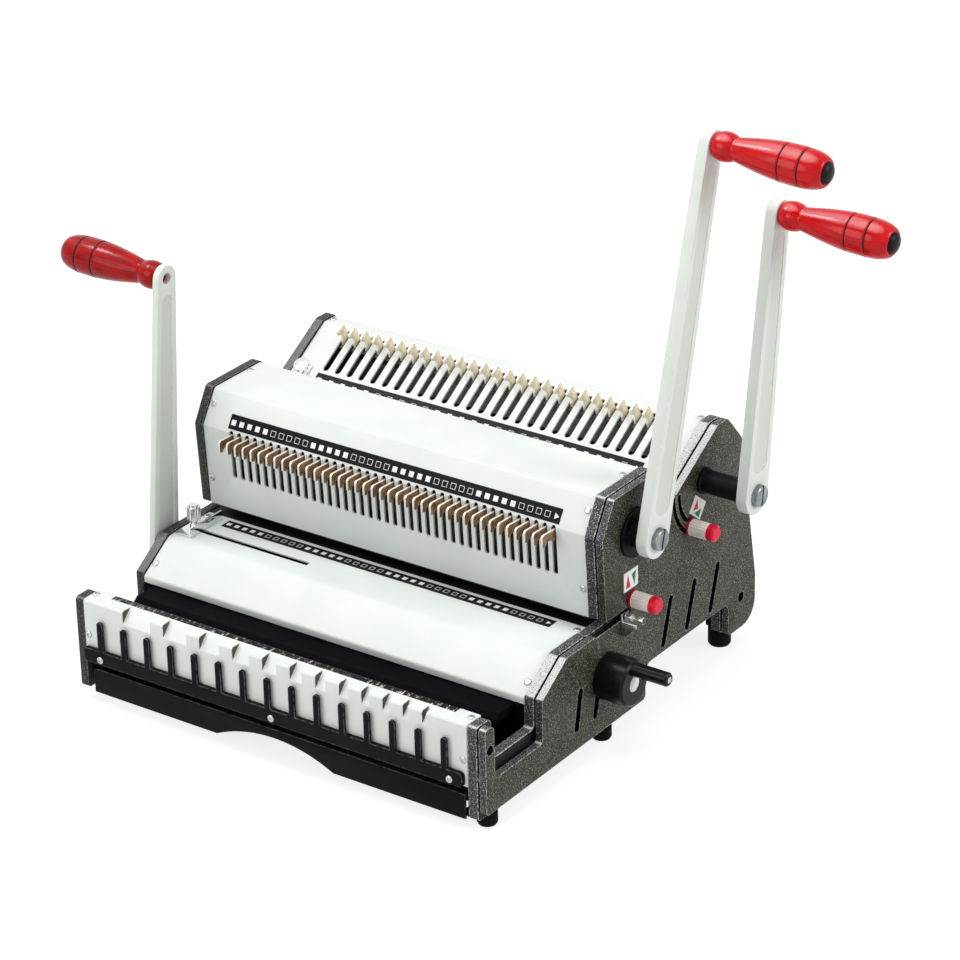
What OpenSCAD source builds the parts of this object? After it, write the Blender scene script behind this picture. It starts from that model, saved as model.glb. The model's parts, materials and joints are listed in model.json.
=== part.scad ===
// Desk machine that punches paper for twin-loop wire and closes the wire.
// Two punching rows stand one behind the other, with the closing well in front.
// Millimetres: X runs right along the rows, Y from front to back, Z up from the table.

/* [Punching rows] */
// first slot to last slot, the same in both rows
row_w = 330.2; // [279.4:25.4:330.2]
// last slot to the inner face of a side plate
row_margin = 30.6; // [28:0.2:40]
// width of a slot in the front row
slot_w = 4.6; // [3.6:0.1:4.8]
// width of a slot in the rear row
rear_slot_w = 6.2; // [4:0.1:6.6]
// length of a slot in the housing skins
slot_len = 45; // [40:0.5:47]
// side of a square punch pin in the front row
pin_3 = 4; // [3:0.1:4.4]
// width of a punch pin in the rear row
pin_2 = 5; // [4:0.1:6]
// thickness of a hook tab
tab_t = 2; // [1:0.1:2.4]
// reach of a hook tab in front of the skin
tab_reach = 17; // [12:0.5:19]

/* [Side frames] */
// thickness of the left side plate
plate_l_t = 8; // [6:0.5:10]
// thickness of the right inner plate
plate_r_t = 9; // [7:0.5:11]
// groove between the right inner plate and its outer cover
groove = 2; // [1.5:0.1:3]
// thickness of the right outer cover
cover_t = 6.5; // [5:0.5:8]
// height of the outer cover over the table
foot_h = 18.5; // [16:0.5:24]
// depth of the two inner plates below the outer cover
plate_drop = 7.5; // [6:0.5:9]
// radius of the four front and middle feet
foot_r = 8.5; // [7:0.1:8.8]
// depth of the front posts
post_d = 20; // [18:0.5:22]
// height of the front posts over the feet
post_h = 76.5; // [74:0.5:80]

/* [Front panel and well] */
// front panel skin to the back of its gauge bar
gauge_d = 13; // [12:0.5:14]
// width of the widest thickness pocket
gauge_first = 29; // [24:0.5:30]
// width of a tooth between two pockets
gauge_tooth = 14; // [12:0.5:15]
// height of the wire finger rail
rail_h = 12.7; // [11.5:0.1:14]
// spacing of the wire fingers
finger_pitch = 25.1; // [24:0.1:30]
// height of a wire finger over the rail
finger_h = 27.5; // [22:0.5:30]
// open width of the closing well
well_w = 58; // [54:0.5:62]

/* [Deck] */
// depth of the sloping front of the deck
deck_slope_d = 35; // [32:0.5:40]
// rise of the deck from its lip to its flat
deck_rise = 23; // [20:0.5:26]
// depth of the flat of the deck
deck_flat_d = 55; // [53:0.5:60]
// paper throat between the deck and the front housing skin
throat_h = 8; // [7.5:0.1:9]

/* [Housings] */
// thickness of a housing skin
skin = 2; // [1.5:0.1:2]
// height of the slotted front face
face_h = 75; // [75:0.5:80]
// depth of the flat top of the front housing
top_d = 63.2; // [60:0.2:70]
// slope of the rear slotted face
rear_ang = 31.3; // [29:0.1:33]
// rear paper throat between the two housings
rear_throat = 6; // [5.5:0.1:7]

/* [Levers] */
// length of the front punch lever, pivot to handle
lever_3_len = 321; // [290:1:340]
// length of the rear punch lever, pivot to handle
lever_2_len = 238; // [215:1:250]
// length of the closer lever, pivot to handle
lever_1_len = 275; // [250:1:300]
// lean of the front punch lever at rest
lever_3_lean = 15.3; // [12:0.1:18]
// lean of the rear punch lever at rest
lever_2_lean = 8.4; // [4:0.1:10]
// lean of the closer lever at rest
lever_1_lean = 5.2; // [2:0.1:8]
// thickness of a punch lever arm
arm_t = 10; // [8:0.5:12]
// thickness of the closer lever arm
closer_arm_t = 6; // [5:0.5:9]
// radius of a lever arm at its pivot
arm_r0 = 17; // [15:0.5:18]
// radius of a lever arm at its handle
arm_r1 = 11.5; // [10:0.5:13]
// length of a turned handle
handle_len = 105; // [98:1:120]
// largest radius of a turned handle
handle_r = 16.4; // [14:0.1:18]
// stand-off of the rear punch lever from the cover
sleeve_len = 41.5; // [38:0.5:46]

/* [Chip tray] */
// depth of the chip tray from front to back
tray_d = 262; // [230:1:280]
// height of the chip tray front
tray_h = 22.5; // [20:0.5:24]

/* [Hidden] */
$fn = 48;

// clearances shared by mating pieces
run = 0.05;
slip = 0.3;
yoke_gap = 0.4;
edge_gap = 0.5;

// standard pitches, three and two holes to the inch
pitch_3 = 25.4 / 3;
pitch_2 = 25.4 / 2;
n_3 = round(row_w / pitch_3) + 1;
n_2 = round(row_w / pitch_2) + 1;

// widths across the machine
half_in = row_w / 2 + row_margin;
x_left = -half_in - plate_l_t;
x_plate = half_in + plate_r_t;
x_cover = x_plate + groove;
x_out = x_cover + cover_t;
fit_w = half_in - edge_gap;
label_half = row_w / 2 + 4.4;

// heights and depths of the front of the machine
post_z = foot_h + post_h;
plate_z = foot_h - plate_drop;
rail_z = foot_h + 21.3;
plate_rail_z = foot_h + 39.5;
cover_rail_z = foot_h + 28.5;
lip_z = foot_h + 64.5;
deck_z = lip_z + deck_rise;
well_y = post_d + well_w;
bend_y = well_y + deck_slope_d;
deck_back = bend_y + deck_flat_d;
rail_x0 = -half_in + 1.5;
rail_x1 = half_in - 2.7;
gauge_drop = 12;
gauge_ratio = 0.835;
gauge_start = -half_in + 42.7;
gauge_end = half_in - 36;
finger_n = floor((2 * half_in - 36) / finger_pitch) + 1;
trough_z = foot_h + 27;
anvil_h = 36;
anvil_t = 6.5;
nip_z = post_z - 15;
nip_d = 3.5;
front_foot_y = 18.4;
left_foot_y = 27;
mid_foot_y = deck_back + 13;
arch_y = deck_back + 59.4;
arch_d = 43;
deck_ang = atan2(deck_rise, deck_slope_d);

// outline of the front housing: foot, bend, front of the top, back of the top
face_lean = 4.3;
bevel_d = 17.6;
bevel_h = 28.5;
face_0 = [deck_back + 3, deck_z + throat_h];
face_1 = [face_0[0] - face_lean, face_0[1] + face_h];
top_0 = [face_1[0] + bevel_d, face_1[1] + bevel_h];
top_1 = [top_0[0] + top_d, top_0[1]];
slot_top = face_1[1] + 1.4;

// the rear faces meet in a valley; s runs up the slotted face and n out of it
valley_d = 43.5;
apex = top_1 + valley_d * [sin(rear_ang), -cos(rear_ang)];
rear_len = 80;
rear_slot_0 = rear_len - 2.6 - slot_len;
rear_1 = apex + rear_len * [cos(rear_ang), sin(rear_ang)];
rear_2 = rear_1 + [14, 0];
rear_3 = rear_2 + [22, -24];
y_back = rear_3[0] + 25;
rear_low = [y_back - 5, foot_h + 30];
rear_foot_y = y_back - 27.4;
rear_foot_r = 10;

// punch strokes: a pin on a crank swings evenly through the line square to the stroke
crank_e = 12;
crank_pin = 3.5;
crank_half = 35;
closer_half = 30;
shaft_r = 7;
web_r = 6.5;
hub_r = 10;
ear_x0 = row_w / 2 + 6;
ear_w = 7;
web_x0 = ear_x0 + ear_w + 0.6;
web_w = 7.4;
guide_x0 = web_x0 + web_w + 1.2;

// pivots of the three levers
pivot_3 = [face_0[0] + 40, deck_z + 73];
pivot_s = 40.2;
pivot_n = 22;
pivot_2 = apex + pivot_s * [cos(rear_ang), sin(rear_ang)] + pivot_n * [sin(rear_ang), -cos(rear_ang)];
pivot_1 = [bend_y + 5, foot_h + 37.5];
boss_len = 12.5;
arm_gap = 0.3;
bolt_r = 9.2;
arm_x3 = x_out + boss_len + arm_gap;
arm_x2 = x_out + sleeve_len + arm_gap;
arm_x1 = x_left - 1.6;

// depth knobs, gap crank and paper stops
knob_3 = [face_0[0] + 37, deck_z + 14];
knob_s = 5.05;
knob_n = -40.4;
knob_2 = apex + [cos(rear_ang) * knob_s - sin(rear_ang) * knob_n,
                 sin(rear_ang) * knob_s + cos(rear_ang) * knob_n];
knob_r = 7.2;
knob_len = 19;
knob_cap = 7;
knob_gap = 0.7;
knob_shaft = 4;
ecc_r = 6.5;
ecc_e = 2;
crank_at = [deck_back + 0.8, foot_h + 48.9];
crank_len = 28;
crank_r = 20;
grip_at = 13.4;
grip_r = 6;
grip_len = 33;
gap_e = 4;
gap_r = 15;

latch_y = knob_3[0] - 17.2;
latch_z = deck_z + 0.5;

// die blocks and punch pins
throat_mid = deck_z + 1 + throat_h / 2;
die_y = face_0[0] + 10;
gap_z = deck_z + 5.5;
pin_n = -9;
pin_hole = 0.3;
carrier_z0 = deck_z + 56;
carrier_z1 = deck_z + 86;
tab_z = slot_top - 14;
tab_s = rear_slot_0 + 31;
carrier_s0 = 60;
carrier_s1 = rear_len - 2;

// closer bar
closer_z0 = foot_h + 49.5;
closer_z1 = foot_h + 57.5;
closer_y0 = well_y - 26;

// edge guides and panel screws
guide_slot_y = deck_back - 32;
guide_slot_w = 6;
guide_x = -half_in + 12.7;
rear_guide_s = 11.5;
screw_x = half_in - 4.3;

// turned handles
ball_len = 18.5;
ball_r = 12.2;
neck_x = ball_len + 1.5;
neck_r = 10;
tail_len = 32;
plug_r = 9.3;
plug_len = 4.5;
collar_r = 8.6;
handle_droop = 2;
closer_rise = 1.4;

// tray and runners
tray_half = half_in - 8.2;
tray_z0 = 7.8;
runner_lip = 7.5;
pull_y = 4;
pull_d = 26;
pull_h = 14;
pull_half = 60;
pull_r = (pull_half * pull_half + pull_h * pull_h) / (2 * pull_h);

// the row frame has its origin under the middle of the outside box
front_y = -4.5;
head_h = 1.5;
x_mid = (arm_x2 + arm_t + arm_x1 - closer_arm_t) / 2;
y_mid = (y_back + front_y - head_h) / 2;

function unit(v) = v / norm(v);
function yz(p) = [p[0], p[1]];
function leftward(a, b) = [a[1] - b[1], b[0] - a[0]] / norm(b - a);
function corner(a, b, c, r, n) =
    let (u = unit(a - b), w = unit(c - b), h = acos(u * w) / 2)
    let (o = b + unit(u + w) * r / sin(h), p = b + u * r / tan(h), q = b + w * r / tan(h))
    let (a0 = atan2(p[1] - o[1], p[0] - o[0]), a1 = atan2(q[1] - o[1], q[0] - o[0]))
    let (turn = (a1 - a0 + 540) % 360 - 180)
    [for (i = [0 : n]) o + r * [cos(a0 + turn * i / n), sin(a0 + turn * i / n)]];
function rounded(p) =
    let (m = len(p))
    [for (i = [0 : m - 1]) each corner(yz(p[(i + m - 1) % m]), yz(p[i]), yz(p[(i + 1) % m]), p[i][2], 6)];
function bent(p) =
    let (m = len(p) - 1)
    [for (i = [0 : m]) each (i == 0 || i == m) ? [yz(p[i])]
        : corner(yz(p[i - 1]), yz(p[i]), yz(p[i + 1]), p[i][2], 4)];
function beside(p, t) =
    let (m = len(p) - 1)
    [for (i = [0 : m])
        let (a = leftward(p[max(i - 1, 0)], p[max(i, 1)]))
        let (b = leftward(p[min(i, m - 1)], p[min(i + 1, m)]))
        p[i] + t * (a + b) / (1 + a * b)];
function back_to_front(p) = [for (i = [len(p) - 1 : -1 : 0]) p[i]];
function sheet(p, t) = concat(p, back_to_front(beside(p, t)));
function arc(o, r, a0, a1, n) =
    [for (i = [0 : n]) o + r * [cos(a0 + (a1 - a0) * i / n), sin(a0 + (a1 - a0) * i / n)]];
// outline of a link with round ends, from the origin up
function link(r0, r1, l) =
    let (b = asin((r0 - r1) / l))
    concat(arc([0, 0], r0, 180 - b, 360 + b, 18), arc([0, l], r1, b, 180 - b, 14));

// outline of a side plate for a post of depth d, a low rail up to height z and a lower edge at height low
function plate_outline(d, z, low) = rounded([
    [0, low, 3], [0, post_z, 4], [d, post_z, 5], [d, z, 4], [well_y, z, 4],
    [well_y, lip_z + 2, 3], [bend_y, deck_z + 2, 8], [face_0[0] - 0.5, deck_z + 2, 2],
    [face_1[0] - 1.3, face_1[1], 4], [top_0[0] - 1.5, top_0[1] + 1.5, 4],
    [top_1[0] + 1, top_1[1] + 1.5, 8], [apex[0], apex[1] + 3.5, 6],
    [rear_1[0] - 1, rear_1[1] + 2, 8], [rear_2[0] + 1, rear_2[1] + 2, 6],
    [rear_3[0] + 1.5, rear_3[1], 8], [y_back, foot_h + 42, 20], [y_back, foot_h, 20],
    [y_back - arch_d, foot_h, 4], [y_back - arch_d, foot_h + 31.5, 8], [arch_y, foot_h + 31.5, 8],
    [arch_y, low, 4]]);

module row_frame()
    translate([-x_mid, -y_mid, 0]) children();
module slab(x0, x1, pts)
    translate([x0, 0, 0]) rotate([90, 0, 90]) linear_extrude(x1 - x0) polygon(pts);
module box(x0, x1, y0, y1, z0, z1)
    translate([x0, y0, z0]) cube([x1 - x0, y1 - y0, z1 - z0]);
module rod_x(x0, x1, p, r)
    translate([x0, p[0], p[1]]) rotate([0, 90, 0]) cylinder(h = x1 - x0, r = r);
module on_slope()
    translate([0, apex[0], apex[1]]) rotate([rear_ang, 0, 0]) children();
module on_deck_slope()
    translate([0, well_y, lip_z]) rotate([deck_ang, 0, 0]) children();
module both_ends()
    for (side = [-1, 1]) scale([side, 1, 1]) children();
module row_of(n, pitch)
    for (i = [0 : n - 1]) translate([(i - (n - 1) / 2) * pitch, 0, 0]) children();

// round-ended upright slot, cut along Y
module slot_y(z0, z1, w, y0, y1) {
    box(-w / 2, w / 2, y0, y1, z0 + w / 2, z1 - w / 2);
    for (z = [z0 + w / 2, z1 - w / 2])
        translate([0, y0, z]) rotate([-90, 0, 0]) cylinder(h = y1 - y0, r = w / 2);
}

// slanted round-ended slot through a plate, between two points of its face
module slot_x(x0, x1, a, b, w) {
    rod_x(x0, x1, a, w / 2);
    rod_x(x0, x1, b, w / 2);
    slab(x0, x1, sheet_band(a, b, w));
}
function sheet_band(a, b, w) =
    let (s = leftward(a, b) * w / 2)
    [a - s, b - s, b + s, a + s];

// cuts that the side plates and the cover share: the open ends of the front throat and the bearings
module plate_cuts(x0, x1) {
    slot_x(x0, x1, [deck_back - 12, throat_mid], [die_y + 22, throat_mid], throat_h);
    rod_x(x0, x1, pivot_2, shaft_r + run);
    rod_x(x0, x1, pivot_3, shaft_r + run);
    rod_x(x0, x1, knob_2, knob_shaft + run);
    rod_x(x0, x1, knob_3, knob_shaft + run);
}

module left_side_plate()
    row_frame() color("dimgray") difference() {
        slab(x_left, -half_in, plate_outline(post_d, plate_rail_z, plate_z));
        plate_cuts(x_left - 1, -half_in + 1);
        rod_x(x_left - 1, -half_in + 1, pivot_1, shaft_r + run);
    }

module right_side_plate()
    row_frame() color("dimgray") difference() {
        slab(half_in, x_plate, plate_outline(post_d, plate_rail_z, plate_z));
        plate_cuts(half_in - 1, x_plate + 1);
        rod_x(half_in - 1, x_plate + 1, pivot_1, shaft_r + run);
        rod_x(half_in - 1, x_plate + 1, crank_at, 5 + run);
    }

module right_outer_cover()
    row_frame() color("dimgray") {
        difference() {
            slab(x_cover, x_out, plate_outline(12, cover_rail_z, foot_h));
            plate_cuts(x_cover - 1, x_out + 1);
            rod_x(x_cover - 1, x_out + 1, crank_at, 5 + run);
            rod_x(x_cover - 1, x_out + 1, [6, foot_h + 56.5], 4.3);
            rod_x(x_cover - 1, x_out + 1, [y_back - 23, foot_h + 29], 4.8);
            cover_vents();
        }
        for (p = [[6, foot_h + 30], [bend_y, foot_h + 20], [top_0[0], top_0[1] - 20],
                  [rear_2[0], rear_2[1] - 25], [y_back - 20, foot_h + 12]])
            rod_x(x_plate, x_cover, p, 5);
    }

// slanted vents and two arcs round the rear pivot
module cover_vents() {
    vent_w = 7;
    for (i = [0 : 2])
        let (a = [arch_y + 38.5 + 36.5 * i, foot_h + 75.5])
        slot_x(x_cover - 1, x_out + 1, a, a - [11.5, 37], vent_w);
    for (i = [0 : 1])
        let (a = [deck_back - 35.6 + 27 * i, foot_h + 50])
        slot_x(x_cover - 1, x_out + 1, a, a - [6.3, 31], vent_w);
    for (r = [37, 45])
        intersection() {
            difference() {
                rod_x(x_cover - 1, x_out + 1, pivot_2, r + 2.4);
                rod_x(x_cover - 2, x_out + 2, pivot_2, r - 2.4);
            }
            slab(x_cover - 1, x_out + 1,
                 [pivot_2, pivot_2 + [-60, 3], pivot_2 - [60, 60], pivot_2 - [32, 46]]);
        }
}

module rubber_foot(r, h) {
    cylinder(h = 2, r1 = r - 1.2, r2 = r);
    translate([0, 0, 2]) cylinder(h = h - 2, r = r);
}
module feet()
    row_frame() color("black") {
        for (p = [[-half_in - plate_l_t / 2, left_foot_y], [-half_in - plate_l_t / 2, mid_foot_y],
                  [half_in + plate_r_t / 2, front_foot_y], [half_in + plate_r_t / 2, mid_foot_y]])
            translate([p[0], p[1], 0]) rubber_foot(foot_r, plate_z);
        both_ends() {
            translate([half_in - 1, rear_foot_y, 0]) rubber_foot(rear_foot_r, foot_h);
            box(half_in - 10, half_in - slip, rear_foot_y - 8, rear_foot_y + 8, foot_h, foot_h + 14);
        }
    }

module tray_runners()
    row_frame() color("black") both_ends()
        rotate([90, 0, 0]) translate([0, 0, 2 - tray_d]) linear_extrude(tray_d - 12)
            polygon([[tray_half - 7, runner_lip - 2], [half_in - 5.7, runner_lip - 2],
                     [half_in - 5.7, foot_h + 16], [fit_w, foot_h + 16], [fit_w, foot_h + 19],
                     [half_in - 7.7, foot_h + 19], [half_in - 7.7, runner_lip], [tray_half - 7, runner_lip]]);

// pockets of the thickness gauge narrow by a fixed ratio from left to right
function pocket_w(k) = gauge_first * pow(gauge_ratio, k);
function pocket_x(k) = gauge_start + k * gauge_tooth
    + gauge_first * (1 - pow(gauge_ratio, k)) / (1 - gauge_ratio);

module front_panel()
    row_frame() color("gainsboro") difference() {
        union() {
            slab(-fit_w, fit_w, [[0, rail_z - 0.5], [0, post_z - 1.5], [1.5, post_z], [gauge_d, post_z],
                                 [gauge_d, post_z - 14], [2.5, post_z - 18], [2.5, rail_z - 0.5]]);
            both_ends()
                box(label_half + 6, fit_w, gauge_d, post_d, post_z - 10, post_z);
        }
        for (k = [0 : 11])
            if (pocket_x(k) + pocket_w(k) < gauge_end)
                slab(pocket_x(k), pocket_x(k) + pocket_w(k),
                     [[-1, post_z - gauge_drop - 1], [0, post_z - gauge_drop], [gauge_d - 1.8, post_z],
                      [gauge_d - 1, post_z + 1], [-1, post_z + 1]]);
    }

module finger_rail()
    row_frame() color("black") {
        rotate([90, 0, 0]) linear_extrude(-front_y)
            polygon(rounded([[rail_x0, rail_z, 2], [rail_x1, rail_z, 3],
                             [rail_x1, rail_z + rail_h, 4], [rail_x0, rail_z + rail_h, 2]]));
        row_of(finger_n, finger_pitch) {
            box(-3, 3, front_y, front_y + 2.5, rail_z + rail_h, rail_z + rail_h + finger_h - 3);
            translate([0, front_y, rail_z + rail_h + finger_h - 3]) rotate([-90, 0, 0])
                cylinder(h = 2.5, r = 3);
        }
    }

module closing_anvil()
    row_frame() color("black")
        slab(-label_half - 5, label_half + 5,
             [[gauge_d, post_z - anvil_h], [gauge_d + anvil_t, post_z - anvil_h],
              [gauge_d + anvil_t, nip_z - 11],
              [gauge_d + anvil_t - nip_d, nip_z - 5], [gauge_d + anvil_t - nip_d, nip_z + 5],
              [gauge_d + anvil_t, nip_z + 11], [gauge_d + anvil_t, post_z], [gauge_d, post_z]]);

module well_trough()
    row_frame() color("black") difference() {
        slab(-fit_w, fit_w, sheet(bent([[3, trough_z, 0], [well_y, trough_z, 4],
                                        [well_y, lip_z - 7, 0]]), 1.5));
        box(-tray_half, tray_half, well_y - 8, well_y + 8, closer_z0 - 1.5, closer_z1 + 1.5);
    }

module deck_panel()
    row_frame() color("gainsboro") difference() {
        slab(-fit_w, fit_w, sheet(bent([[well_y, lip_z - 6, 0], [well_y, lip_z, 3.2],
                                        [bend_y, deck_z, 12], [deck_back, deck_z, 0]]), -skin));
        box(guide_x - 2, guide_x + 120, guide_slot_y - guide_slot_w / 2, guide_slot_y + guide_slot_w / 2,
            deck_z - 9, deck_z + 2);
    }

module deck_label()
    row_frame() color("black")
        box(-label_half, label_half, deck_back - 16.3, deck_back - 4.5, deck_z, deck_z + 0.3);

module front_housing()
    row_frame() color("gainsboro") difference() {
        slab(-fit_w, fit_w, sheet(bent([[face_0[0], face_0[1], 0], [face_1[0], face_1[1], 3],
                                        [top_0[0], top_0[1], 4], [top_1[0], top_1[1], 4],
                                        [apex[0], apex[1], 0]]), -skin));
        row_of(n_3, pitch_3)
            slot_y(slot_top - slot_len, slot_top, slot_w, face_1[0] - 5, face_0[0] + 3);
    }

module front_label()
    row_frame() color("black")
        translate([0, face_1[0], face_1[1]]) rotate([atan2(bevel_h, bevel_d), 0, 0])
            box(-label_half, label_half, 3, 16, 0, 0.3);

module front_die()
    row_frame() color("silver") difference() {
        box(-fit_w, fit_w, deck_back + 0.4, die_y + 12, deck_z - 14, deck_z);
        row_of(n_3, pitch_3)
            box(-pin_3 / 2 - pin_hole, pin_3 / 2 + pin_hole, die_y - pin_3 / 2 - pin_hole,
                die_y + pin_3 / 2 + pin_hole, deck_z - 15, deck_z + 1);
    }

module front_stripper()
    row_frame() color("silver") difference() {
        box(-fit_w, fit_w, face_0[0] + skin + 0.6, die_y + 12, gap_z, gap_z + 10);
        row_of(n_3, pitch_3)
            box(-pin_3 / 2 - pin_hole, pin_3 / 2 + pin_hole, die_y - pin_3 / 2 - pin_hole,
                die_y + pin_3 / 2 + pin_hole, gap_z - 1, gap_z + 11);
    }

module rear_housing()
    row_frame() color("gainsboro") difference() {
        slab(-fit_w, fit_w, sheet(bent([concat(apex + rear_throat * [cos(rear_ang), sin(rear_ang)], 0),
                                        concat(rear_1, 4), concat(rear_2, 0)]), -skin));
        on_slope() {
            row_of(n_2, pitch_2) {
                r = rear_slot_w / 2;
                box(-r, r, rear_slot_0 + r, rear_slot_0 + slot_len - r, -5, 3);
                for (s = [rear_slot_0 + r, rear_slot_0 + slot_len - r])
                    translate([0, s, -5]) cylinder(h = 8, r = r);
            }
            box(guide_x - 4, guide_x + 90, rear_guide_s - 1.7, rear_guide_s + 1.7, -5, 3);
        }
    }

module rear_label()
    row_frame() color("black") on_slope()
        box(-label_half, label_half, rear_slot_0 - 15, rear_slot_0 - 3.5, 0, 0.3);

// the dies of the rear row stand square to the slotted face
module rear_holes(s0, s1)
    row_of(n_2, pitch_2)
        box(-pin_2 / 2 - pin_hole, pin_2 / 2 + pin_hole, s0, s1, pin_n - 2 - pin_hole, pin_n + 2 + pin_hole);

module rear_die()
    row_frame() color("silver") on_slope() difference() {
        box(-fit_w, fit_w, -14, 0, -22, -0.4);
        rear_holes(-15, 1);
    }

module rear_stripper()
    row_frame() color("silver") on_slope() difference() {
        box(-fit_w, fit_w, rear_throat, rear_throat + 10, -20, -skin - 5.5);
        rear_holes(rear_throat - 1, rear_throat + 11);
    }

module rear_cover()
    row_frame() color("gainsboro") difference() {
        slab(-fit_w, fit_w, sheet(bent([concat(rear_2 + 1.2 * skin * unit(rear_3 - rear_2), 0),
                                        concat(rear_3, 5), concat(rear_low, 0)]), -skin));
        for (i = [0 : 8])
            box((i - 4) * 34 - 11, (i - 4) * 34 + 11, rear_3[0], y_back + 5, rear_3[1] - 70, rear_3[1] - 66);
        for (i = [0 : 8])
            box((i - 4) * 34 - 11, (i - 4) * 34 + 11, rear_3[0], y_back + 5, rear_3[1] - 84, rear_3[1] - 80);
    }

// grooved strips on the side plates steer the ends of the two punch carriers
module carrier_guides()
    row_frame() color("silver") both_ends() {
        difference() {
            box(guide_x0, fit_w, die_y - 7, die_y + 8, gap_z + 10, carrier_z1 + 2);
            box(guide_x0 - 1, fit_w - 2, die_y - 3.5 - slip, die_y + 3.5 + slip, gap_z + 9, carrier_z1 + 3);
        }
        on_slope() difference() {
            box(guide_x0, fit_w, rear_throat + 14, rear_len - 4, -13.5, -skin - 0.2);
            box(guide_x0 - 1, fit_w - 2, rear_throat + 13, rear_len - 3, -10 - slip, -4.5 + slip);
        }
    }

module screw_head()
    difference() {
        union() {
            cylinder(h = 0.7, r = 3.2);
            translate([0, 0, 0.7]) cylinder(h = head_h - 0.7, r1 = 3.2, r2 = 1.9);
        }
        translate([0, 0, 0.6]) cylinder(h = 2, r = 1.1, $fn = 6);
    }
module panel_screws()
    row_frame() color("silver") {
        both_ends() {
            translate([screw_x, gauge_d - 0.5, post_z]) screw_head();
            translate([screw_x, 0, rail_z + 23.2]) rotate([90, 0, 0]) screw_head();
            translate([screw_x, deck_back - 8, deck_z]) screw_head();
            translate([screw_x, 0, 0]) on_deck_slope() translate([0, 14, 0]) screw_head();
            translate([screw_x, top_0[0] + 44, top_0[1]]) screw_head();
            translate([screw_x, rear_1[0] + 8, rear_1[1]]) screw_head();
            translate([screw_x, face_0[0] - 0.34 * face_lean, face_0[1] + 0.34 * face_h])
                rotate([90 + atan2(face_lean, face_h), 0, 0]) screw_head();
            translate([screw_x, face_1[0], face_1[1]]) rotate([atan2(bevel_h, bevel_d), 0, 0])
                translate([0, 20.5, 0]) screw_head();
        }
        for (x = [rail_x0 + 17.4, 3.4, rail_x1 - 12.3])
            translate([x, front_y, rail_z + 4.7]) rotate([90, 0, 0]) screw_head();
    }

module pivot_boss()
    row_frame() color("black") difference() {
        union() {
            rod_x(x_out, x_out + 3, pivot_3, 21);
            rod_x(x_out + 3, x_out + boss_len, pivot_3, shaft_r + 5);
        }
        rod_x(x_out - 1, x_out + boss_len + 1, pivot_3, shaft_r + run);
    }

module shaft_sleeve()
    row_frame() color("black") difference() {
        union() {
            rod_x(x_out, x_out + 3, pivot_2, shaft_r + 4.2);
            rod_x(x_out, x_out + sleeve_len, pivot_2, shaft_r + 3);
        }
        rod_x(x_out - 1, x_out + sleeve_len + 1, pivot_2, shaft_r + run);
    }

module side_tags()
    row_frame() color("white") {
        box(x_out, x_out + 0.4, knob_3[0] - 12.5, knob_3[0] + 8, knob_3[1] + 10, knob_3[1] + 27);
        translate([x_out, knob_2[0] + 11, knob_2[1] + 13]) rotate([52, 0, 0])
            box(0, 0.4, -8, 8, -10, 10);
    }

// bracket on the cover: leg, flange standing out, and a cross pin with two collars
module side_latch()
    row_frame() color("silver") {
        pin = [latch_y + 5.5, latch_z + 3.2];
        box(x_out, x_out + 1.6, latch_y, latch_y + 10, latch_z - 13, latch_z + 6.5);
        translate([x_out, latch_y + 1.6, latch_z]) rotate([90, 0, 0]) linear_extrude(1.6)
            polygon([[1.6, -13], [5, -13], [15, -3], [15, 0], [1.6, 0]]);
        rod_x(x_out + 1.6, x_out + 19, pin, 1.6);
        for (x = [x_out + 3.5, x_out + 14])
            rod_x(x, x + 5, pin, 3);
    }

// lever arm from its pivot up, thickness t along X
module lever_arm(len, t) {
    difference() {
        slab(0, t, link(arm_r0, arm_r1, len));
        rod_x(-1, t + 1, [0, 0], shaft_r + run);
        rod_x(-1, t + 1, [0, len], 5 + run);
        for (x = [-1, t - 0.9])
            translate([0, 0, arm_r0 + 12])
                slab(x, x + 1.9, link(arm_r0 - 6.5, arm_r1 - 5, len - arm_r0 - arm_r1 - 22));
    }
}

// turned handle from the face of an arm: collar ball, neck, swelling body and a domed black plug;
// its axis leans a little from the line square to the arm, so a straight collar seats it
function body_r(x) = x < handle_len - tail_len
    ? neck_r + (handle_r - neck_r) * sin(90 * (x - neck_x) / (handle_len - tail_len - neck_x))
    : handle_r * pow(1 - pow((x - handle_len + tail_len) / (tail_len - 0.4), 3), 1 / 3);
module turned_handle(t, droop) {
    body_len = handle_len - plug_len - neck_x;
    translate([0.4, 0, 0]) rotate([0, 90 + droop, 0]) rotate_extrude() polygon(concat(
        [[0, 0]],
        [for (i = [0 : 10]) [ball_r * sqrt(1 - pow((i - 5) / 8.3, 2)), ball_len * i / 10]],
        [for (i = [0 : 24]) [body_r(neck_x + body_len * i / 24), neck_x + body_len * i / 24]],
        [for (i = [0 : 5]) [plug_r * cos(18 * i), handle_len - plug_len + plug_len * sin(18 * i)]]));
    rotate([0, 90, 0]) {
        cylinder(h = 1.4, r = collar_r);
        translate([0, 0, -t]) cylinder(h = t, r = 5);
    }
}

// washer and slotted head
module pivot_bolt()
    rotate([0, 90, 0]) difference() {
        union() {
            cylinder(h = 1.3, r = bolt_r + 0.4);
            translate([0, 0, 1.3]) cylinder(h = 3.2, r = bolt_r);
            translate([0, 0, 4.5]) cylinder(h = 0.8, r1 = bolt_r, r2 = bolt_r - 0.8);
        }
        translate([-bolt_r - 1, -1.1, 3.7]) cube([2 * bolt_r + 2, 2.2, 3]);
    }

module lean_at(x, p, lean)
    translate([x, p[0], p[1]]) rotate([-lean, 0, 0]) children();

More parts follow.
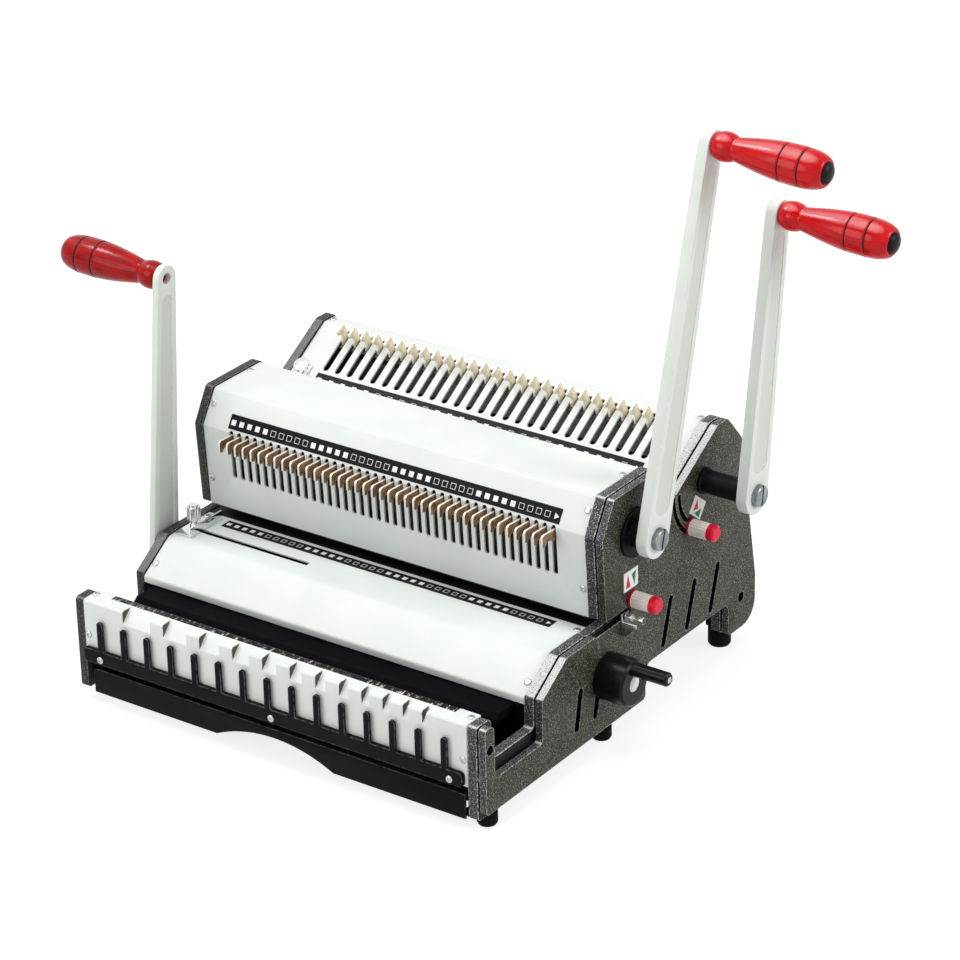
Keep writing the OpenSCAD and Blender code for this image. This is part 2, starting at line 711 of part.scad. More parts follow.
// crank of a shaft: web and pin at both ends, pin direction in degrees from +Y towards +Z
module crank_ends(p, dir)
    both_ends() translate([0, p[0], p[1]]) rotate([dir - 90, 0, 0]) difference() {
        union() {
            slab(web_x0, web_x0 + web_w, link(hub_r, web_r, crank_e));
            rod_x(ear_x0 - 0.5, web_x0, [0, crank_e], crank_pin);
        }
        rod_x(web_x0 - 1, web_x0 + web_w + 1, [0, 0], shaft_r - 1);
    }

module closer_arm()
    row_frame() color("whitesmoke") lean_at(arm_x1 - closer_arm_t, pivot_1, lever_1_lean)
        lever_arm(lever_1_len, closer_arm_t);
module closer_handle()
    row_frame() color("firebrick") lean_at(arm_x1 - closer_arm_t, pivot_1, lever_1_lean)
        translate([0, 0, lever_1_len]) rotate([0, 0, 180]) turned_handle(closer_arm_t, -closer_rise);
module closer_bolt()
    row_frame() color("silver") lean_at(arm_x1 - closer_arm_t, pivot_1, lever_1_lean)
        rotate([0, 0, 180]) pivot_bolt();
module closer_shaft()
    row_frame() color("silver") {
        rod_x(arm_x1 - closer_arm_t, x_plate - 1, pivot_1, shaft_r);
        crank_ends(pivot_1, 90 - closer_half);
    }

// pressing bar with two forked ears over the crank pins and two tails
module closer_bar()
    row_frame() color("black") {
        slab(-web_x0 - web_w, web_x0 + web_w,
             [[closer_y0, closer_z0], [pivot_1[0] - 20, closer_z0], [pivot_1[0] - 20, closer_z1],
              [closer_y0 + 5, closer_z1], [closer_y0, closer_z1 - 4]]);
        both_ends() difference() {
            box(ear_x0, ear_x0 + ear_w, pivot_1[0] - 20, crank_at[0] - gap_r - gap_e - 1,
                pivot_1[1] + shaft_r + 1, closer_z1);
            box(ear_x0 - 1, ear_x0 + ear_w + 1,
                pivot_1[0] + crank_e * sin(closer_half) - crank_pin - yoke_gap,
                pivot_1[0] + crank_e * sin(closer_half) + crank_pin + yoke_gap,
                pivot_1[1], pivot_1[1] + crank_e + crank_pin + 0.6);
        }
    }

module front_arm()
    row_frame() color("whitesmoke") lean_at(arm_x3, pivot_3, lever_3_lean) lever_arm(lever_3_len, arm_t);
module front_handle()
    row_frame() color("firebrick") lean_at(arm_x3 + arm_t, pivot_3, lever_3_lean)
        translate([0, 0, lever_3_len]) turned_handle(arm_t, handle_droop);
module front_bolt()
    row_frame() color("silver") lean_at(arm_x3 + arm_t, pivot_3, lever_3_lean) pivot_bolt();
module front_shaft()
    row_frame() color("silver") {
        rod_x(x_left + 1, arm_x3 + arm_t, pivot_3, shaft_r);
        crank_ends(pivot_3, 180 - crank_half);
    }

// bar of the front punches: tongues in the guides, ears forked over the crank pins
module front_carrier()
    row_frame() color("silver") {
        rest_z = pivot_3[1] + crank_e * sin(crank_half);
        box(-guide_x0 + 0.8, guide_x0 - 0.8, die_y - 6, die_y + 7, carrier_z0, carrier_z1);
        both_ends() {
            box(guide_x0 - 0.8, fit_w - 2 - slip, die_y - 3.5, die_y + 3.5, carrier_z0, carrier_z1);
            difference() {
                box(ear_x0, ear_x0 + ear_w, die_y + 7, pivot_3[0] - shaft_r - 1, rest_z - 11, rest_z + 11);
                box(ear_x0 - 1, ear_x0 + ear_w + 1, pivot_3[0] - crank_e - crank_pin - 0.6, pivot_3[0],
                    rest_z - crank_pin - yoke_gap, rest_z + crank_pin + yoke_gap);
            }
        }
    }

// hook plate in its own plane: reach in front of the skin, rise above the foot of the shank
function tab_outline(root, reach) = [
    [-root, 0], [-root, 10], [reach - 2, 11.3], [reach, 9.8], [reach, 1], [reach - 3.5, 0],
    [reach - 6, 2.8], [reach - 10, 3.4], [2, 1]];
module front_tabs()
    row_frame() color("saddlebrown") row_of(n_3, pitch_3)
        slab(-tab_t / 2, tab_t / 2,
             [for (p = tab_outline(die_y - 6 - face_1[0], tab_reach)) [face_1[0] - p[0], tab_z + p[1]]]);

module front_pins()
    row_frame() color("silver") row_of(n_3, pitch_3)
        box(-pin_3 / 2, pin_3 / 2, die_y - pin_3 / 2, die_y + pin_3 / 2, gap_z + 1, carrier_z0);

module rear_arm()
    row_frame() color("whitesmoke") lean_at(arm_x2, pivot_2, lever_2_lean) lever_arm(lever_2_len, arm_t);
module rear_handle()
    row_frame() color("firebrick") lean_at(arm_x2 + arm_t, pivot_2, lever_2_lean)
        translate([0, 0, lever_2_len]) turned_handle(arm_t, handle_droop);
module rear_bolt()
    row_frame() color("silver") lean_at(arm_x2 + arm_t, pivot_2, lever_2_lean) pivot_bolt();
module rear_shaft()
    row_frame() color("silver") {
        rod_x(x_left + 1, arm_x2 + arm_t, pivot_2, shaft_r);
        crank_ends(pivot_2, rear_ang + 90 - crank_half);
    }

module rear_carrier()
    row_frame() color("silver") on_slope() {
        rest_s = pivot_s + crank_e * sin(crank_half);
        box(-guide_x0 + 0.8, guide_x0 - 0.8, carrier_s0, carrier_s1, -12, -skin - 0.6);
        both_ends() {
            box(guide_x0 - 0.8, fit_w - 2 - slip, carrier_s0, carrier_s1 - 4, -10, -4.5);
            difference() {
                box(ear_x0, ear_x0 + ear_w, rest_s - 11, carrier_s0, -pivot_n + shaft_r + 1, -skin - 0.6);
                box(ear_x0 - 1, ear_x0 + ear_w + 1, rest_s - crank_pin - yoke_gap,
                    rest_s + crank_pin + yoke_gap, -pivot_n - 3, -pivot_n + crank_e + crank_pin + 0.5);
            }
        }
    }

module rear_tabs()
    row_frame() color("saddlebrown") on_slope() row_of(n_2, pitch_2)
        slab(-tab_t / 2, tab_t / 2,
             [for (p = tab_outline(skin + 0.6, tab_reach - 2.2)) [tab_s + p[1], p[0]]]);

module rear_pins()
    row_frame() color("silver") on_slope() row_of(n_2, pitch_2)
        box(-pin_2 / 2, pin_2 / 2, rear_throat + 1, carrier_s0, pin_n - 2, pin_n + 2);

// depth knob on its cross shaft, with an eccentric at each stop ear
module depth_knob(p, dir) {
    difference() {
        rod_x(x_out + knob_gap, x_out + knob_len, p, knob_r);
        for (i = [0 : 17])
            rod_x(x_out + 3, x_out + knob_len - 1.5, p + (knob_r + 0.5) * [cos(20 * i), sin(20 * i)], 1);
    }
    rod_x(x_left + 1, x_out + knob_gap, p, knob_shaft);
    both_ends()
        rod_x(ear_x0 - 0.5, ear_x0 + ear_w + 0.5, p + ecc_e * [cos(dir), sin(dir)], ecc_r);
}
module depth_cap(p)
    translate([x_out + knob_len, p[0], p[1]]) rotate([0, 90, 0]) {
        cylinder(h = knob_cap - 1.5, r = knob_r);
        translate([0, 0, knob_cap - 1.5]) cylinder(h = 1.5, r1 = knob_r, r2 = knob_r - 1.5);
    }

module front_depth_knob()
    row_frame() color("gray") depth_knob(knob_3, 90);
module front_depth_cap()
    row_frame() color("red") depth_cap(knob_3);
module front_stop()
    row_frame() color("silver") {
        box(-ear_x0 - ear_w, ear_x0 + ear_w, die_y + 6, die_y + 16, deck_z + 0.4, gap_z - 0.4);
        box(-ear_x0 - ear_w, ear_x0 + ear_w, die_y + 15, die_y + 18, gap_z - 0.4, gap_z + 18);
        both_ends() difference() {
            box(ear_x0, ear_x0 + ear_w, die_y + 15, knob_3[0] + 13, knob_3[1] - 13, knob_3[1] + 13);
            box(ear_x0 - 1, ear_x0 + ear_w + 1, knob_3[0] - ecc_r - slip, knob_3[0] + ecc_r + slip,
                knob_3[1] - ecc_r - ecc_e - 0.5, knob_3[1] + ecc_r + ecc_e + 0.5);
        }
    }

module rear_depth_knob()
    row_frame() color("gray") depth_knob(knob_2, rear_ang);
module rear_depth_cap()
    row_frame() color("red") depth_cap(knob_2);
module rear_stop()
    row_frame() color("silver") on_slope() {
        box(-ear_x0 - ear_w, ear_x0 + ear_w, 0.5, rear_throat - 0.5, knob_n + 12, -15);
        both_ends() difference() {
            box(ear_x0, ear_x0 + ear_w, knob_s - 13, knob_s + 13, knob_n - 12, knob_n + 12);
            box(ear_x0 - 1, ear_x0 + ear_w + 1, knob_s - ecc_r - ecc_e - 0.5, knob_s + ecc_r + ecc_e + 0.5,
                knob_n - ecc_r - slip, knob_n + ecc_r + slip);
        }
    }

// hand crank: hub on a short shaft with an eccentric behind the tail of the closer bar
module gap_crank()
    row_frame() color("black") {
        difference() {
            union() {
                rod_x(x_out + knob_gap, x_out + crank_len - 2, crank_at, crank_r);
                translate([x_out + crank_len - 2, crank_at[0], crank_at[1]]) rotate([0, 90, 0])
                    cylinder(h = 2, r1 = crank_r, r2 = crank_r - 2);
            }
            rod_x(x_out + crank_len - 1.2, x_out + crank_len + 1, crank_at, 7.5);
        }
        rod_x(ear_x0 - 6, x_out + knob_gap, crank_at, 5);
        rod_x(ear_x0 - 1, ear_x0 + ear_w + 1, crank_at - [gap_e, 0], gap_r);
    }
module gap_grip()
    row_frame() color("black") translate([x_out + crank_len, crank_at[0], crank_at[1] + grip_at])
        rotate([0, 90, 0]) {
            cylinder(h = grip_len - 1.5, r = grip_r);
            translate([0, 0, grip_len - 1.5]) cylinder(h = 1.5, r1 = grip_r, r2 = grip_r - 1.5);
        }

// edge guide on the deck: foot, paper fence, and a shoe that runs under the slot
module deck_guide()
    row_frame() color("silver") translate([guide_x, guide_slot_y, deck_z]) {
        box(-10, 7, -17, 8, 0.2, 2.2);
        box(5, 7, -17, 26, 2.2, 9);
        box(-1.4, 1.4, 0.3 - guide_slot_w / 2, guide_slot_w / 2 - 0.3, -skin - 0.3, 0.2);
        box(-5, 5, -6, 6, -skin - 2.8, -skin - 0.3);
    }
module deck_guide_knob()
    row_frame() color("silver") translate([guide_x - 1, guide_slot_y - 2, deck_z + 2.2]) {
        difference() {
            cylinder(h = 22, r = 4);
            translate([0, 0, 4]) difference() {
                cylinder(h = 4, r = 5);
                cylinder(h = 4, r = 3);
            }
        }
        translate([0, 0, 8]) difference() {
            cylinder(h = 12, r = 6);
            for (i = [0 : 11])
                rotate([0, 0, 30 * i]) translate([6.5, 0, -1]) cylinder(h = 14, r = 1.1);
        }
    }

module rear_guide()
    row_frame() color("silver") on_slope() translate([guide_x - 2, rear_guide_s, 0]) {
        box(-10, 7, -4.3, 21.5, 0.5, 2.3);
        box(5, 7, -4.3, 15, 2.3, 9.5);
        box(-1.4, 1.4, -1.4, 1.4, -skin - 0.3, 0.5);
        box(-5, 5, -4, 4, -skin - 2.4, -skin - 0.3);
        translate([-2.6, 18.5, 2.3]) cylinder(h = 0.7, r = 2.4);
        translate([-2.6, 18.5, 3]) cylinder(h = 2, r = 7);
    }

// tray behind a front plate, with room for the fingers between them and a round pull cut under the plate
module chip_tray()
    row_frame() color("black") {
        difference() {
            box(-tray_half + slip, tray_half - slip, pull_d, tray_d, tray_z0, tray_z0 + tray_h - 2);
            box(-tray_half + 2, tray_half - 2, pull_d + 1.5, tray_d - 1.5, tray_z0 + 1.5, tray_z0 + tray_h);
        }
        box(-tray_half + slip, tray_half - slip, pull_y, pull_d,
            tray_z0 + tray_h - 3.5, tray_z0 + tray_h - 2);
        difference() {
            box(-half_in + 4.9, half_in - 4.9, pull_y - 2, pull_y, tray_z0, tray_z0 + tray_h);
            translate([0, pull_y + 1, tray_z0 + pull_h - pull_r]) rotate([90, 0, 0])
                cylinder(h = 4, r = pull_r, $fn = 180);
        }
    }

left_side_plate();
right_side_plate();
right_outer_cover();
feet();
tray_runners();
front_panel();
finger_rail();
closing_anvil();
well_trough();
deck_panel();
deck_label();
front_housing();
front_label();
front_die();
front_stripper();
rear_housing();
rear_label();
rear_die();
rear_stripper();
rear_cover();
carrier_guides();
panel_screws();
pivot_boss();
shaft_sleeve();
side_tags();
side_latch();
closer_arm();
closer_handle();
closer_bolt();
closer_shaft();
closer_bar();
front_arm();
front_handle();
front_bolt();
front_shaft();
front_carrier();
front_tabs();
front_pins();
rear_arm();
rear_handle();
rear_bolt();
rear_shaft();
rear_carrier();
rear_tabs();
rear_pins();
front_depth_knob();
front_depth_cap();
front_stop();
rear_depth_knob();
rear_depth_cap();
rear_stop();
gap_crank();
gap_grip();
deck_guide();
deck_guide_knob();
rear_guide();
chip_tray();
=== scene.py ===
import json
import math
import bmesh
import bpy
from mathutils import Matrix, Vector
from mathutils.bvhtree import BVHTree

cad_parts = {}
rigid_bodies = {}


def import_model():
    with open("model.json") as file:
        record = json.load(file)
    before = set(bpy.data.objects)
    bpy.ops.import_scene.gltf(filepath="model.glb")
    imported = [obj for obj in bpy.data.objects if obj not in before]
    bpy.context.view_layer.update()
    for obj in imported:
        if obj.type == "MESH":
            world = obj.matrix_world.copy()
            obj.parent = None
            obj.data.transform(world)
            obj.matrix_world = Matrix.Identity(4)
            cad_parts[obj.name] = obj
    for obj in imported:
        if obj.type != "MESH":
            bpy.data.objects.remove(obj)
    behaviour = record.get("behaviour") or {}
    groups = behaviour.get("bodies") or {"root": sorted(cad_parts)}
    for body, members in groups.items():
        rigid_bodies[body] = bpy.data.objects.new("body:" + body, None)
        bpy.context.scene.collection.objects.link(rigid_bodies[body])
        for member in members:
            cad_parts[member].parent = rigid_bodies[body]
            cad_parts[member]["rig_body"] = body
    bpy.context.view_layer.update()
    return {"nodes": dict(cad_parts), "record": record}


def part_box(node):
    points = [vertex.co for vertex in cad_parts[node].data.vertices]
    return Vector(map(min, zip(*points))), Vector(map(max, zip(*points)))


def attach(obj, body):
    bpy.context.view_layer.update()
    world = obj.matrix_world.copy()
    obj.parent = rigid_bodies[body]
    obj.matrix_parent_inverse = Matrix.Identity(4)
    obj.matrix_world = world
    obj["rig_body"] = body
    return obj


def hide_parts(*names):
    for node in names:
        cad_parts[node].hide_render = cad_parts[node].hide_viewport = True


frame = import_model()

scene = bpy.context.scene
scene.view_settings.view_transform = "Standard"
nodeObjects = frame["nodes"]
print("stage: frame loaded,", len(nodeObjects), "nodes")

# machine axes in mm: x from the middle of the rows, y from the front face, z from the table
labelLow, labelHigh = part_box("front_label")
railProud = 0.0045  # m, the finger rail before the front face
machine = {"x": (labelLow.x + labelHigh.x) / 2, "y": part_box("finger_rail")[0].y + railProud}


def at(x, y, z):
    return Vector((machine["x"] + x / 1000, machine["y"] + y / 1000, z / 1000))


photoCamera = {
    "place": (1712.16, -2074.47, 1546.40),  # machine mm
    "right": (0.816614, 0.576775, -0.021709),
    "up": (-0.234847, 0.366390, 0.900336),
    "back": (0.527246, -0.730129, 0.434653),
    "lens": 142.36,
    "sensor": 36.0,
    "reach": 20,
}


def placeCamera(settings):
    data = bpy.data.cameras.new("photoCamera")
    data.lens = settings["lens"]
    data.sensor_width = settings["sensor"]
    data.sensor_fit = "HORIZONTAL"
    data.clip_end = settings["reach"]
    camera = bpy.data.objects.new("photoCamera", data)
    scene.collection.objects.link(camera)
    turn = Matrix((settings["right"], settings["up"], settings["back"])).transposed()
    camera.matrix_world = Matrix.Translation(at(*settings["place"])) @ turn.to_4x4()
    scene.camera = camera


placeCamera(photoCamera)
print("stage: camera placed")

# node helpers


def plug(tree, value, socket):
    if isinstance(value, bpy.types.NodeSocket):
        tree.links.new(value, socket)
    elif socket.type == "RGBA":
        socket.default_value = (*value, 1.0)
    else:
        socket.default_value = value


def addNode(tree, kind, inputs, **settings):
    node = tree.nodes.new(kind)
    for key, value in settings.items():
        setattr(node, key, value)
    for label, value in inputs.items():
        plug(tree, value, node.inputs[label])
    return node


def mathNode(tree, operation, a, b=None, clamp=False):
    inputs = {0: a} if b is None else {0: a, 1: b}
    return addNode(tree, "ShaderNodeMath", inputs, operation=operation, use_clamp=clamp).outputs[0]


def rampNode(tree, value, low, high, outLow=0.0, outHigh=1.0):
    inputs = {"Value": value, "From Min": low, "From Max": high, "To Min": outLow, "To Max": outHigh}
    return addNode(tree, "ShaderNodeMapRange", inputs).outputs["Result"]


def spreadNode(tree, mask, low, high):
    return rampNode(tree, mask, 0.0, 1.0, low, high)


def dotNode(tree, a, b):
    return addNode(tree, "ShaderNodeVectorMath", {0: a, 1: b}, operation="DOT_PRODUCT").outputs["Value"]


def faceNormal(tree):
    return tree.nodes.new("ShaderNodeNewGeometry").outputs["Normal"]


def attributeNode(tree, name):
    return addNode(tree, "ShaderNodeAttribute", {}, attribute_name=name).outputs["Fac"]


def objectPlace(tree, stretch=None):
    place = tree.nodes.new("ShaderNodeTexCoord").outputs["Object"]
    if stretch is None:
        return place
    return addNode(tree, "ShaderNodeMapping", {"Vector": place, "Scale": stretch}).outputs["Vector"]


def noiseNode(tree, place, scale, detail=3.0, rough=0.55):
    inputs = {"Vector": place, "Scale": scale, "Detail": detail, "Roughness": rough}
    return addNode(tree, "ShaderNodeTexNoise", inputs).outputs["Fac"]


# shader groups


def newGroup(name, inputs, outputs):
    tree = bpy.data.node_groups.new(name, "ShaderNodeTree")
    for label, value in inputs.items():
        socket = tree.interface.new_socket(name=label, in_out="INPUT", socket_type="NodeSocketFloat")
        socket.default_value = value
    for label in outputs:
        tree.interface.new_socket(name=label, in_out="OUTPUT", socket_type="NodeSocketFloat")
    return tree, tree.nodes.new("NodeGroupInput").outputs


def putOut(tree, **values):
    addNode(tree, "NodeGroupOutput", values)
    return tree


grainNoise = {"scale": 900.0, "detail": 4.0, "band": (0.35, 0.65)}  # band: values that ramp from 0 to 1


def buildFineGrain(s):
    tree, given = newGroup("fineGrain", {"Scale": s["scale"]}, ("Mask", "Height"))
    value = noiseNode(tree, objectPlace(tree), given["Scale"], s["detail"])
    return putOut(tree, Mask=rampNode(tree, value, *s["band"]), Height=value)


# lighter rounded edges: partly worn paint, partly painted glints along the rims
edgeWearGlintLook = {  # bend: cosine between a face and the same face with its edges rounded
    "radius": 0.0008, "samples": 4, "bend": (0.99, 0.86),
    "breakup": 400.0, "detail": 4.0, "band": (0.38, 0.62),
}


def buildEdgeWearGlint(s):
    tree, given = newGroup("edgeWearGlint", {"Radius": s["radius"], "Breakup": s["breakup"]}, ("Mask",))
    bevel = addNode(tree, "ShaderNodeBevel", {"Radius": given["Radius"]}, samples=s["samples"])
    turned = rampNode(tree, dotNode(tree, bevel.outputs["Normal"], faceNormal(tree)), *s["bend"])
    edge = mathNode(tree, "MAXIMUM", turned, attributeNode(tree, "edge"), True)  # edge: 1 on rounded strips
    chipped = rampNode(tree, noiseNode(tree, objectPlace(tree), given["Breakup"], s["detail"]), *s["band"])
    return putOut(tree, Mask=mathNode(tree, "MULTIPLY", edge, chipped, True))


hammerCells = {  # cell: distances from a cell's middle, finer: scale of the noise that breaks the cells
    "scale": 420.0, "smooth": 0.35, "cell": (0.42, 0.2),
    "finer": 1.7, "detail": 2.0, "band": (0.46, 0.58),
}


def buildHammerFinish(s):
    tree, given = newGroup("hammerFinish", {"Scale": s["scale"]}, ("Fleck", "Height"))
    place, scale = objectPlace(tree), given["Scale"]
    inputs = {"Vector": place, "Scale": scale, "Smoothness": s["smooth"]}
    distance = addNode(tree, "ShaderNodeTexVoronoi", inputs, feature="SMOOTH_F1").outputs["Distance"]
    finer = noiseNode(tree, place, mathNode(tree, "MULTIPLY", scale, s["finer"]), s["detail"])
    cells, broken = rampNode(tree, distance, *s["cell"]), rampNode(tree, finer, *s["band"])
    fleck = mathNode(tree, "MULTIPLY", cells, broken, True)
    return putOut(tree, Fleck=fleck, Height=mathNode(tree, "SUBTRACT", 1.0, distance))


dustAndSheenLook = {  # level, upward and slope: cosines with straight up, or with the way of the painted highlight
    "scale": 60.0, "detail": 5.0, "band": (0.4, 0.75), "level": (0.55, 1.0),
    "highlightWay": (0.0, -0.545, 0.838),  # faces turned this way, toward the front and up, get a painted highlight
    "upward": (0.15, 0.9), "slope": (0.93, 0.99),
}


def buildDustAndSheen(s):
    tree, given = newGroup("dustAndSheen", {"Scale": s["scale"]}, ("Mask", "Upward", "Slope"))
    normal = faceNormal(tree)
    level = rampNode(tree, dotNode(tree, normal, (0, 0, 1)), *s["level"])
    patch = rampNode(tree, noiseNode(tree, objectPlace(tree), given["Scale"], s["detail"]), *s["band"])
    dust = mathNode(tree, "MULTIPLY", level, patch, True)
    # Mask: real dust on level faces; Upward and Slope: where a highlight is painted
    highlighted = dotNode(tree, normal, s["highlightWay"])
    upward, slope = rampNode(tree, highlighted, *s["upward"]), rampNode(tree, highlighted, *s["slope"])
    return putOut(tree, Mask=dust, Upward=upward, Slope=slope)


sideBand = {"low": 0.35, "high": 0.7}  # cosines with x


def buildSideFace(s):
    tree, given = newGroup("sideFace", {"Low": s["low"], "High": s["high"]}, ("Mask",))
    across = mathNode(tree, "ABSOLUTE", dotNode(tree, faceNormal(tree), (1, 0, 0)))
    return putOut(tree, Mask=rampNode(tree, across, given["Low"], given["High"]))


shaderGroups = {
    "fineGrain": buildFineGrain(grainNoise),
    "edgeWearGlint": buildEdgeWearGlint(edgeWearGlintLook),
    "hammerFinish": buildHammerFinish(hammerCells),
    "dustAndSheen": buildDustAndSheen(dustAndSheenLook),
    "sideFace": buildSideFace(sideBand),
}
print("stage: shader groups built")

# materials


def blankMaterial(name, settings):
    material = bpy.data.materials.new(name)
    material.use_nodes = True
    tree = material.node_tree
    tree.nodes.clear()
    shader = tree.nodes.new("ShaderNodeBsdfPrincipled")
    addNode(tree, "ShaderNodeOutputMaterial", {"Surface": shader.outputs[0]})
    for key, socket in (("metallic", "Metallic"), ("specular", "Specular IOR Level")):
        if key in settings:
            shader.inputs[socket].default_value = settings[key]
    return material, tree, shader


def useGroup(tree, name, **values):
    return addNode(tree, "ShaderNodeGroup", values, node_tree=shaderGroups[name]).outputs


def mixColour(tree, mask, a, b):
    return addNode(tree, "ShaderNodeMix", {0: mask, 6: a, 7: b}, data_type="RGBA").outputs[2]


def wearGlintColour(tree, settings, tone):
    wear = useGroup(tree, "edgeWearGlint", Radius=settings["wearRadius"], Breakup=settings["wearBreakup"])
    worn = mathNode(tree, "MULTIPLY", wear["Mask"], settings["wear"], True)
    return mixColour(tree, worn, tone, settings["wearTone"])


def finishShader(tree, shader, settings, colour, sheen, height):
    inputs = {"Strength": settings["bump"], "Distance": settings["bumpDepth"], "Height": height}
    bump = addNode(tree, "ShaderNodeBump", inputs)
    for label, value in (("Base Color", colour), ("Roughness", sheen), ("Normal", bump.outputs["Normal"])):
        tree.links.new(value, shader.inputs[label])


dustCoat = {"tone": (0.35, 0.34, 0.32), "scale": 70.0}


def paintFinish(name, settings):
    material, tree, shader = blankMaterial(name, settings)
    grain = useGroup(tree, "fineGrain", Scale=settings["grain"])
    patch = useGroup(tree, "fineGrain", Scale=settings["patch"])
    tone = mixColour(tree, patch["Mask"], settings["tone"], settings["shade"])
    if "dust" in settings:
        dust = useGroup(tree, "dustAndSheen", Scale=dustCoat["scale"])
        thick = mathNode(tree, "MULTIPLY", dust["Mask"], settings["dust"])
        tone = mixColour(tree, thick, tone, dustCoat["tone"])
    if "marked" in settings:
        tone = mixColour(tree, attributeNode(tree, "marked"), tone, settings["marked"])
    sheen = spreadNode(tree, grain["Mask"], *settings["rough"])
    finishShader(tree, shader, settings, wearGlintColour(tree, settings, tone), sheen, grain["Height"])
    return material


def hammerFinish(name, settings):
    material, tree, shader = blankMaterial(name, settings)
    hammer = useGroup(tree, "hammerFinish", Scale=settings["scale"])
    patch = useGroup(tree, "fineGrain", Scale=settings["patch"])
    facing = useGroup(tree, "dustAndSheen")
    ground = mixColour(tree, patch["Mask"], settings["tone"], settings["shade"])
    # painted highlight: faces turned toward the front and up are made lighter, their flecks too
    lifted = mathNode(tree, "MULTIPLY", facing["Upward"], settings["top"], True)
    ground = mixColour(tree, lifted, ground, settings["topTone"])
    glitter = mixColour(tree, lifted, settings["fleck"], settings["topFleck"])
    flecked = mixColour(tree, hammer["Fleck"], ground, glitter)
    # painted highlight on the slopes, broken into specks
    speck = noiseNode(tree, objectPlace(tree), settings["scale"] * settings["speck"], settings["speckDetail"])
    highlightSpecks = rampNode(tree, speck, *settings["speckBand"], settings["slopeHighlightLow"], settings["slopeHighlight"])
    highlighted = mathNode(tree, "MULTIPLY", facing["Slope"], highlightSpecks, True)
    flecked = mixColour(tree, highlighted, flecked, settings["wearTone"])
    if "marked" in settings:
        flecked = mixColour(tree, attributeNode(tree, "marked"), flecked, settings["marked"])
    low, high = settings["rough"]
    sheen = spreadNode(tree, hammer["Fleck"], high, low)
    finishShader(tree, shader, settings, wearGlintColour(tree, settings, flecked), sheen, hammer["Height"])
    return material


metalBase = {"wear": 1.0, "wearRadius": 0.0005, "wearBreakup": 600.0, "streakBand": (0.3, 0.7)}


def metalFinish(name, own):
    settings = {**metalBase, **own}
    material, tree, shader = blankMaterial(name, settings)
    streak = noiseNode(tree, objectPlace(tree, settings["stretch"]), settings["streak"])
    patch = useGroup(tree, "fineGrain", Scale=settings["patch"])
    tone = mixColour(tree, patch["Mask"], settings["tone"], settings["shade"])
    # painted light: faces not turned sideways take the lighter edge tone, sideways faces keep the darker tone
    # as painted shade
    if "litEdgeTone" in settings:
        tone = mixColour(tree, useGroup(tree, "sideFace")["Mask"], settings["litEdgeTone"], tone)
    if "glint" in settings:
        # painted glints, only on faces turned toward the front and up
        flash = noiseNode(tree, objectPlace(tree, settings["glintStretch"]), *settings["glint"])
        flash = rampNode(tree, flash, *settings["glintBand"])
        bright = mathNode(tree, "MULTIPLY", flash, useGroup(tree, "dustAndSheen")["Upward"], True)
        tone = mixColour(tree, bright, tone, settings["glintTone"])
    sheen = rampNode(tree, streak, *settings["streakBand"], *settings["rough"])
    finishShader(tree, shader, settings, wearGlintColour(tree, settings, tone), sheen, streak)
    return material


def lacquerFinish(name, settings):
    material, tree, shader = blankMaterial(name, settings)
    grain = noiseNode(tree, objectPlace(tree, settings["stretch"]), settings["grain"], settings["detail"])
    patch = useGroup(tree, "fineGrain", Scale=settings["patch"])
    tone = mixColour(tree, rampNode(tree, grain, *settings["band"]), settings["tone"], settings["shade"])
    upper = spreadNode(tree, useGroup(tree, "dustAndSheen")["Slope"], 0.0, settings["lighten"])
    withPaintedSheen = mixColour(tree, upper, tone, settings["paintedSheenTone"])  # painted sheen, lighter on the upper side
    sheen = spreadNode(tree, patch["Mask"], *settings["rough"])
    finishShader(tree, shader, settings, wearGlintColour(tree, settings, withPaintedSheen), sheen, grain)
    return material


panelPaint = {
    "tone": (0.77, 0.805, 0.775), "shade": (0.73, 0.77, 0.74), "wearTone": (0.86, 0.88, 0.85),
    "rough": (0.42, 0.56), "grain": 1100.0, "patch": 22.0, "bump": 0.25, "bumpDepth": 0.0002,
    "wear": 0.5, "wearRadius": 0.0006, "wearBreakup": 300.0, "specular": 0.4,
}
gaugePaint = dict(panelPaint, marked=(0.05, 0.045, 0.025))  # marked: walls of the pockets, painted dark brown as shade
armPaint = dict(  # marked: floor of the recess
    panelPaint, tone=(0.74, 0.77, 0.73), shade=(0.69, 0.73, 0.685), grain=700.0, patch=40.0, bump=0.2,
    marked=(0.62, 0.665, 0.61),
)
blackPaint = {
    "tone": (0.0035, 0.0048, 0.006), "shade": (0.0065, 0.008, 0.009), "wearTone": (0.24, 0.26, 0.27),
    "rough": (0.36, 0.52), "grain": 900.0, "patch": 30.0, "bump": 0.3, "bumpDepth": 0.0002,
    # edge wear: partly worn paint, partly painted highlights along folds and rims
    "wear": 0.42, "wearRadius": 0.0006, "wearBreakup": 250.0, "specular": 0.05, "dust": 0.01,
}
